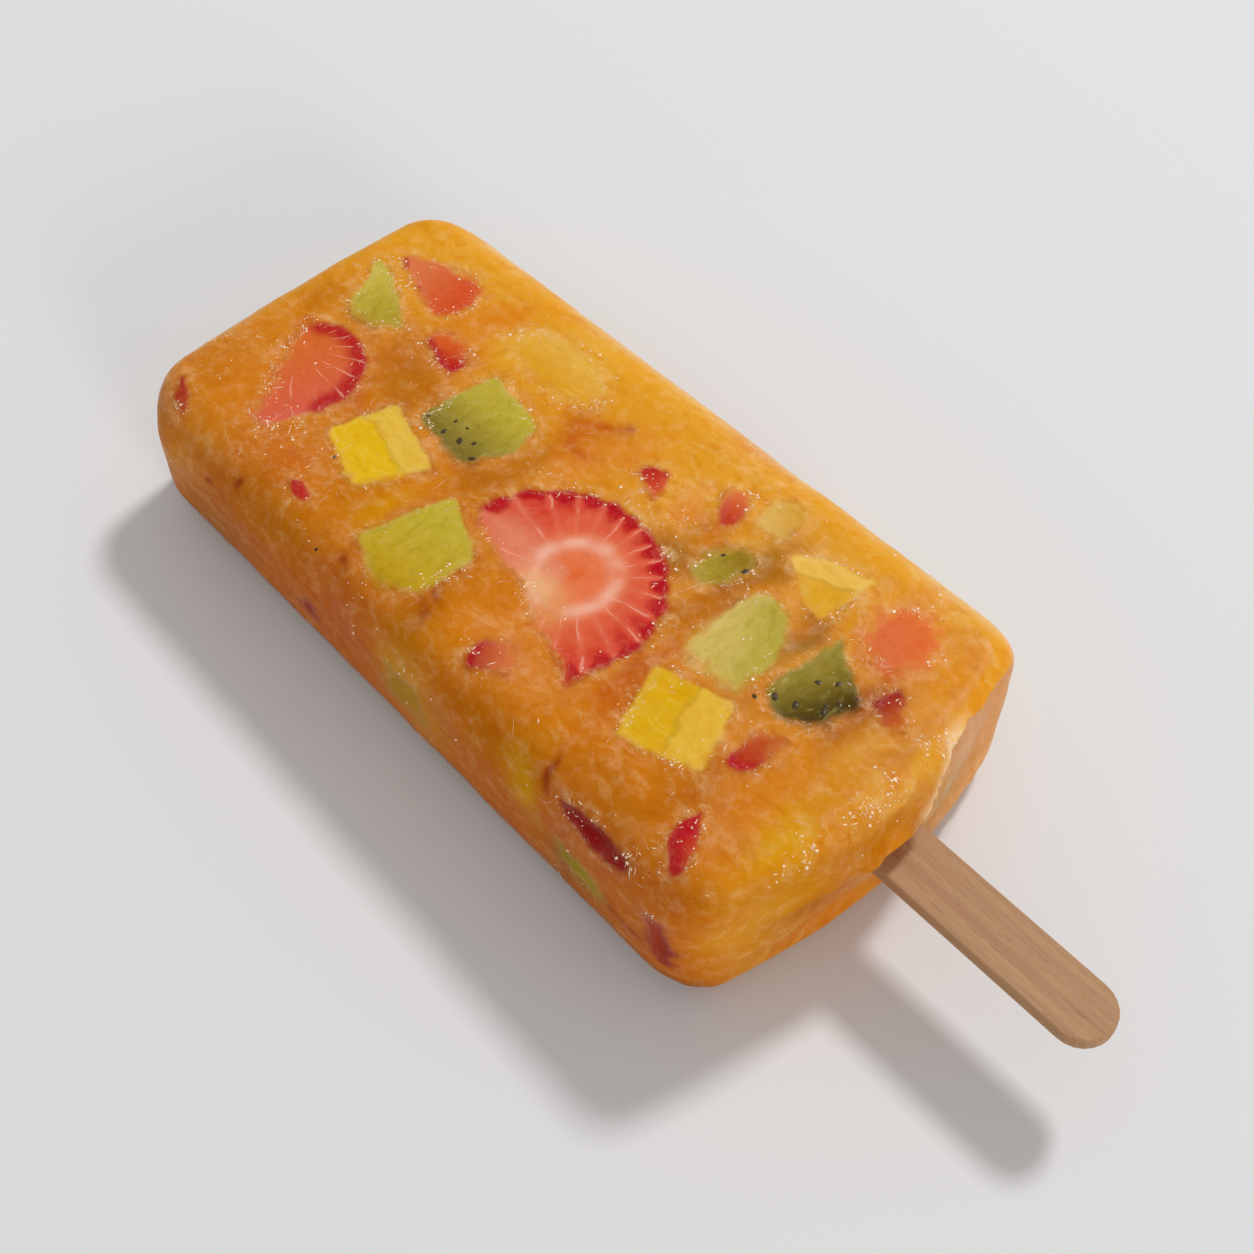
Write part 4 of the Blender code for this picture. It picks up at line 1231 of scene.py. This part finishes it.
def add_frost(tree, block_points, block_normals, fruits, random):
    """The pulp fibres, and the beads and wet ridges that catch the light, whose near-white colour is a painted
    highlight.
    """
    _, busy = tinted_ice(block_points, fruits)
    clumps = np.clip(0.5 + wander(block_points, 4.0, 12), 0.05, 1.5)
    shares = (0.06 + busy**2) * clumps * (block_points[:, 2] > 1.5)

    mesh = mesh_from(dashes(tree, block_points, block_normals, shares, random, FIBRES, 3.6, (0.10, 0.26), (0.02, 0.06)),
                     "pulp_fibres")
    store(mesh, "tint", "FLOAT_COLOR", tinted_ice(points_of(mesh), fruits)[0])
    in_metres(mesh)
    add_piece("pulp_fibres", mesh, painted_ice_material("pulp", 0.35, 0.16), "ice")

    # more of the painted highlights along the stick end's top edge
    crest = np.exp(-(((block_points[:, 1] + 1.5) / 1.2) ** 2)) * smooth(19, 22, block_points[:, 2])
    crest *= smooth(-16, -7, block_points[:, 0]) * smooth(14, 8, block_points[:, 0])
    shares = (0.01 + busy**3 + 2.5 * crest) * clumps**2 * (block_points[:, 2] > 1.5)
    bm = dashes(tree, block_points, block_normals, shares, random, GLINTS, 1.5, (0.12, 0.30), (0.03, 0.09))
    for i in scattered(random, shares, BEADS):
        radius = min(0.26, random.lognormal(-2.15, 0.4))
        place = upright(Vector(block_points[i]), Vector(block_normals[i]))
        flatness = Matrix.Diagonal((radius, radius * random.uniform(0.6, 1.0), radius * 0.7, 1))
        turn = Matrix.Rotation(random.uniform(0, pi), 4, "Z")
        bmesh.ops.create_icosphere(bm, subdivisions=1, radius=1, matrix=place @ turn @ flatness)
    mesh = mesh_from(bm, "wet_beads_painted_highlight")
    store(mesh, "tint", "FLOAT_COLOR", tinted_ice(points_of(mesh), fruits)[0])
    in_metres(mesh)
    add_piece("wet_beads_painted_highlight", mesh, painted_ice_material("beads", 0.95, 0.12), "ice")


def add_lolly(frame):
    fruits = [Fruit(name, node) for name, node in frame["nodes"].items() if name.split("_")[0] in KINDS]
    block = block_mesh()
    roughened(block)
    bm = bmesh.new()
    bm.from_mesh(block)
    tree = BVHTree.FromBMesh(bm)
    bm.free()
    block_points = points_of(block)
    block_normals = np.array([vertex.normal for vertex in block.vertices])

    bm = bmesh.new()
    for fruit in fruits:
        fruit.cutter(bm)
    bmesh.ops.recalc_face_normals(bm, faces=bm.faces)
    pieces = separate(cut(block, mesh_from(bm.copy(), "cutters"), "INTERSECT"))
    slot_for_stick(bm)
    ice = cut(block, mesh_from(bm, "pockets"), "DIFFERENCE")

    colour, busy = tinted_ice(points_of(ice), fruits)
    store(ice, "tint", "FLOAT_COLOR", colour)
    store(ice, "busy", "FLOAT", busy)
    in_metres(ice)
    add_piece("frozen_block", ice, ice_material(), "ice", "ice_block")

    flesh_of = {"strawberry": strawberry_flesh, "kiwi": kiwi_flesh, "mango": mango_flesh, "peach": peach_flesh}
    materials = {kind: fruit_material(kind, flesh_of[kind]) for kind in KINDS}
    for mesh in pieces:
        middle = Vector(points_of(mesh).mean(axis=0))
        fruit = min(fruits, key=lambda fruit: (fruit.box_middle - middle).length)
        dress_fruit(fruit, mesh, fruits, materials[fruit.kind])

    random = np.random.default_rng(SEED)
    add_seeds(tree, random)
    add_frost(tree, block_points, block_normals, fruits, random)
    frame["nodes"]["stick"].material_slots[0].material = wood_material()


# --- Stage -----------------------------------------------------------------------------------------------


def direction(azimuth, elevation):
    """From the object towards a camera or a lamp: azimuth 0 is on the stick's side and 90 on the far side."""
    a, e = radians(azimuth), radians(elevation)
    return Vector((sin(a) * cos(e), -cos(a) * cos(e), sin(e)))


def add_floor():
    mesh = bpy.data.meshes.new("floor")
    bm = bmesh.new()
    bmesh.ops.create_grid(bm, x_segments=1, y_segments=1, size=FLOOR_HALF)
    bm.to_mesh(mesh)
    bm.free()
    graph = Graph("studio_floor")
    graph.set("Base Color", (*FLOOR_COLOUR, 1))
    graph.set("Roughness", 0.9)
    graph.set("Specular IOR Level", 0.1)
    mesh.materials.append(graph.material)
    floor = bpy.data.objects.new("floor", mesh)
    floor.location.z = -FLOOR_GAP
    bpy.context.scene.collection.objects.link(floor)


def add_lamp(name, azimuth, elevation, distance, size, power):
    light = bpy.data.lights.new(name, "AREA")
    light.shape = "DISK"
    light.size = size
    light.energy = power
    lamp = bpy.data.objects.new(name, light)
    towards = direction(azimuth, elevation)
    lamp.location = towards * distance
    lamp.rotation_mode = "QUATERNION"
    lamp.rotation_quaternion = towards.to_track_quat("Z", "Y")
    bpy.context.scene.collection.objects.link(lamp)


def add_stage():
    scene = bpy.context.scene
    add_floor()
    add_lamp("key", *KEY)
    add_lamp("fill", *FILL)
    world = bpy.data.worlds.new("studio")
    world.use_nodes = True
    world.node_tree.nodes["Background"].inputs["Color"].default_value = (*ROOM_COLOUR, 1)
    world.node_tree.nodes["Background"].inputs["Strength"].default_value = ROOM_LIGHT
    scene.world = world
    scene.view_settings.view_transform = "Standard"

    camera = bpy.data.objects.new("camera", bpy.data.cameras.new("camera"))
    camera.data.lens = LENS
    camera.data.clip_start = 0.01
    towards = direction(CAMERA_AZIMUTH, CAMERA_ELEVATION)
    camera.location = Vector(CAMERA_TARGET) * MM + towards * CAMERA_DISTANCE * MM
    camera.rotation_mode = "QUATERNION"
    camera.rotation_quaternion = towards.to_track_quat("Z", "Y")
    scene.collection.objects.link(camera)
    scene.camera = camera


def corners(bounds):
    return [list(corner) for corner in bounds]


for old in list(bpy.data.objects):
    bpy.data.objects.remove(old)
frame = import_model()
BLOCK_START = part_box("ice_block")[1].y / MM - BLOCK_LENGTH - TIP_CROWN
add_lolly(frame)
add_stage()
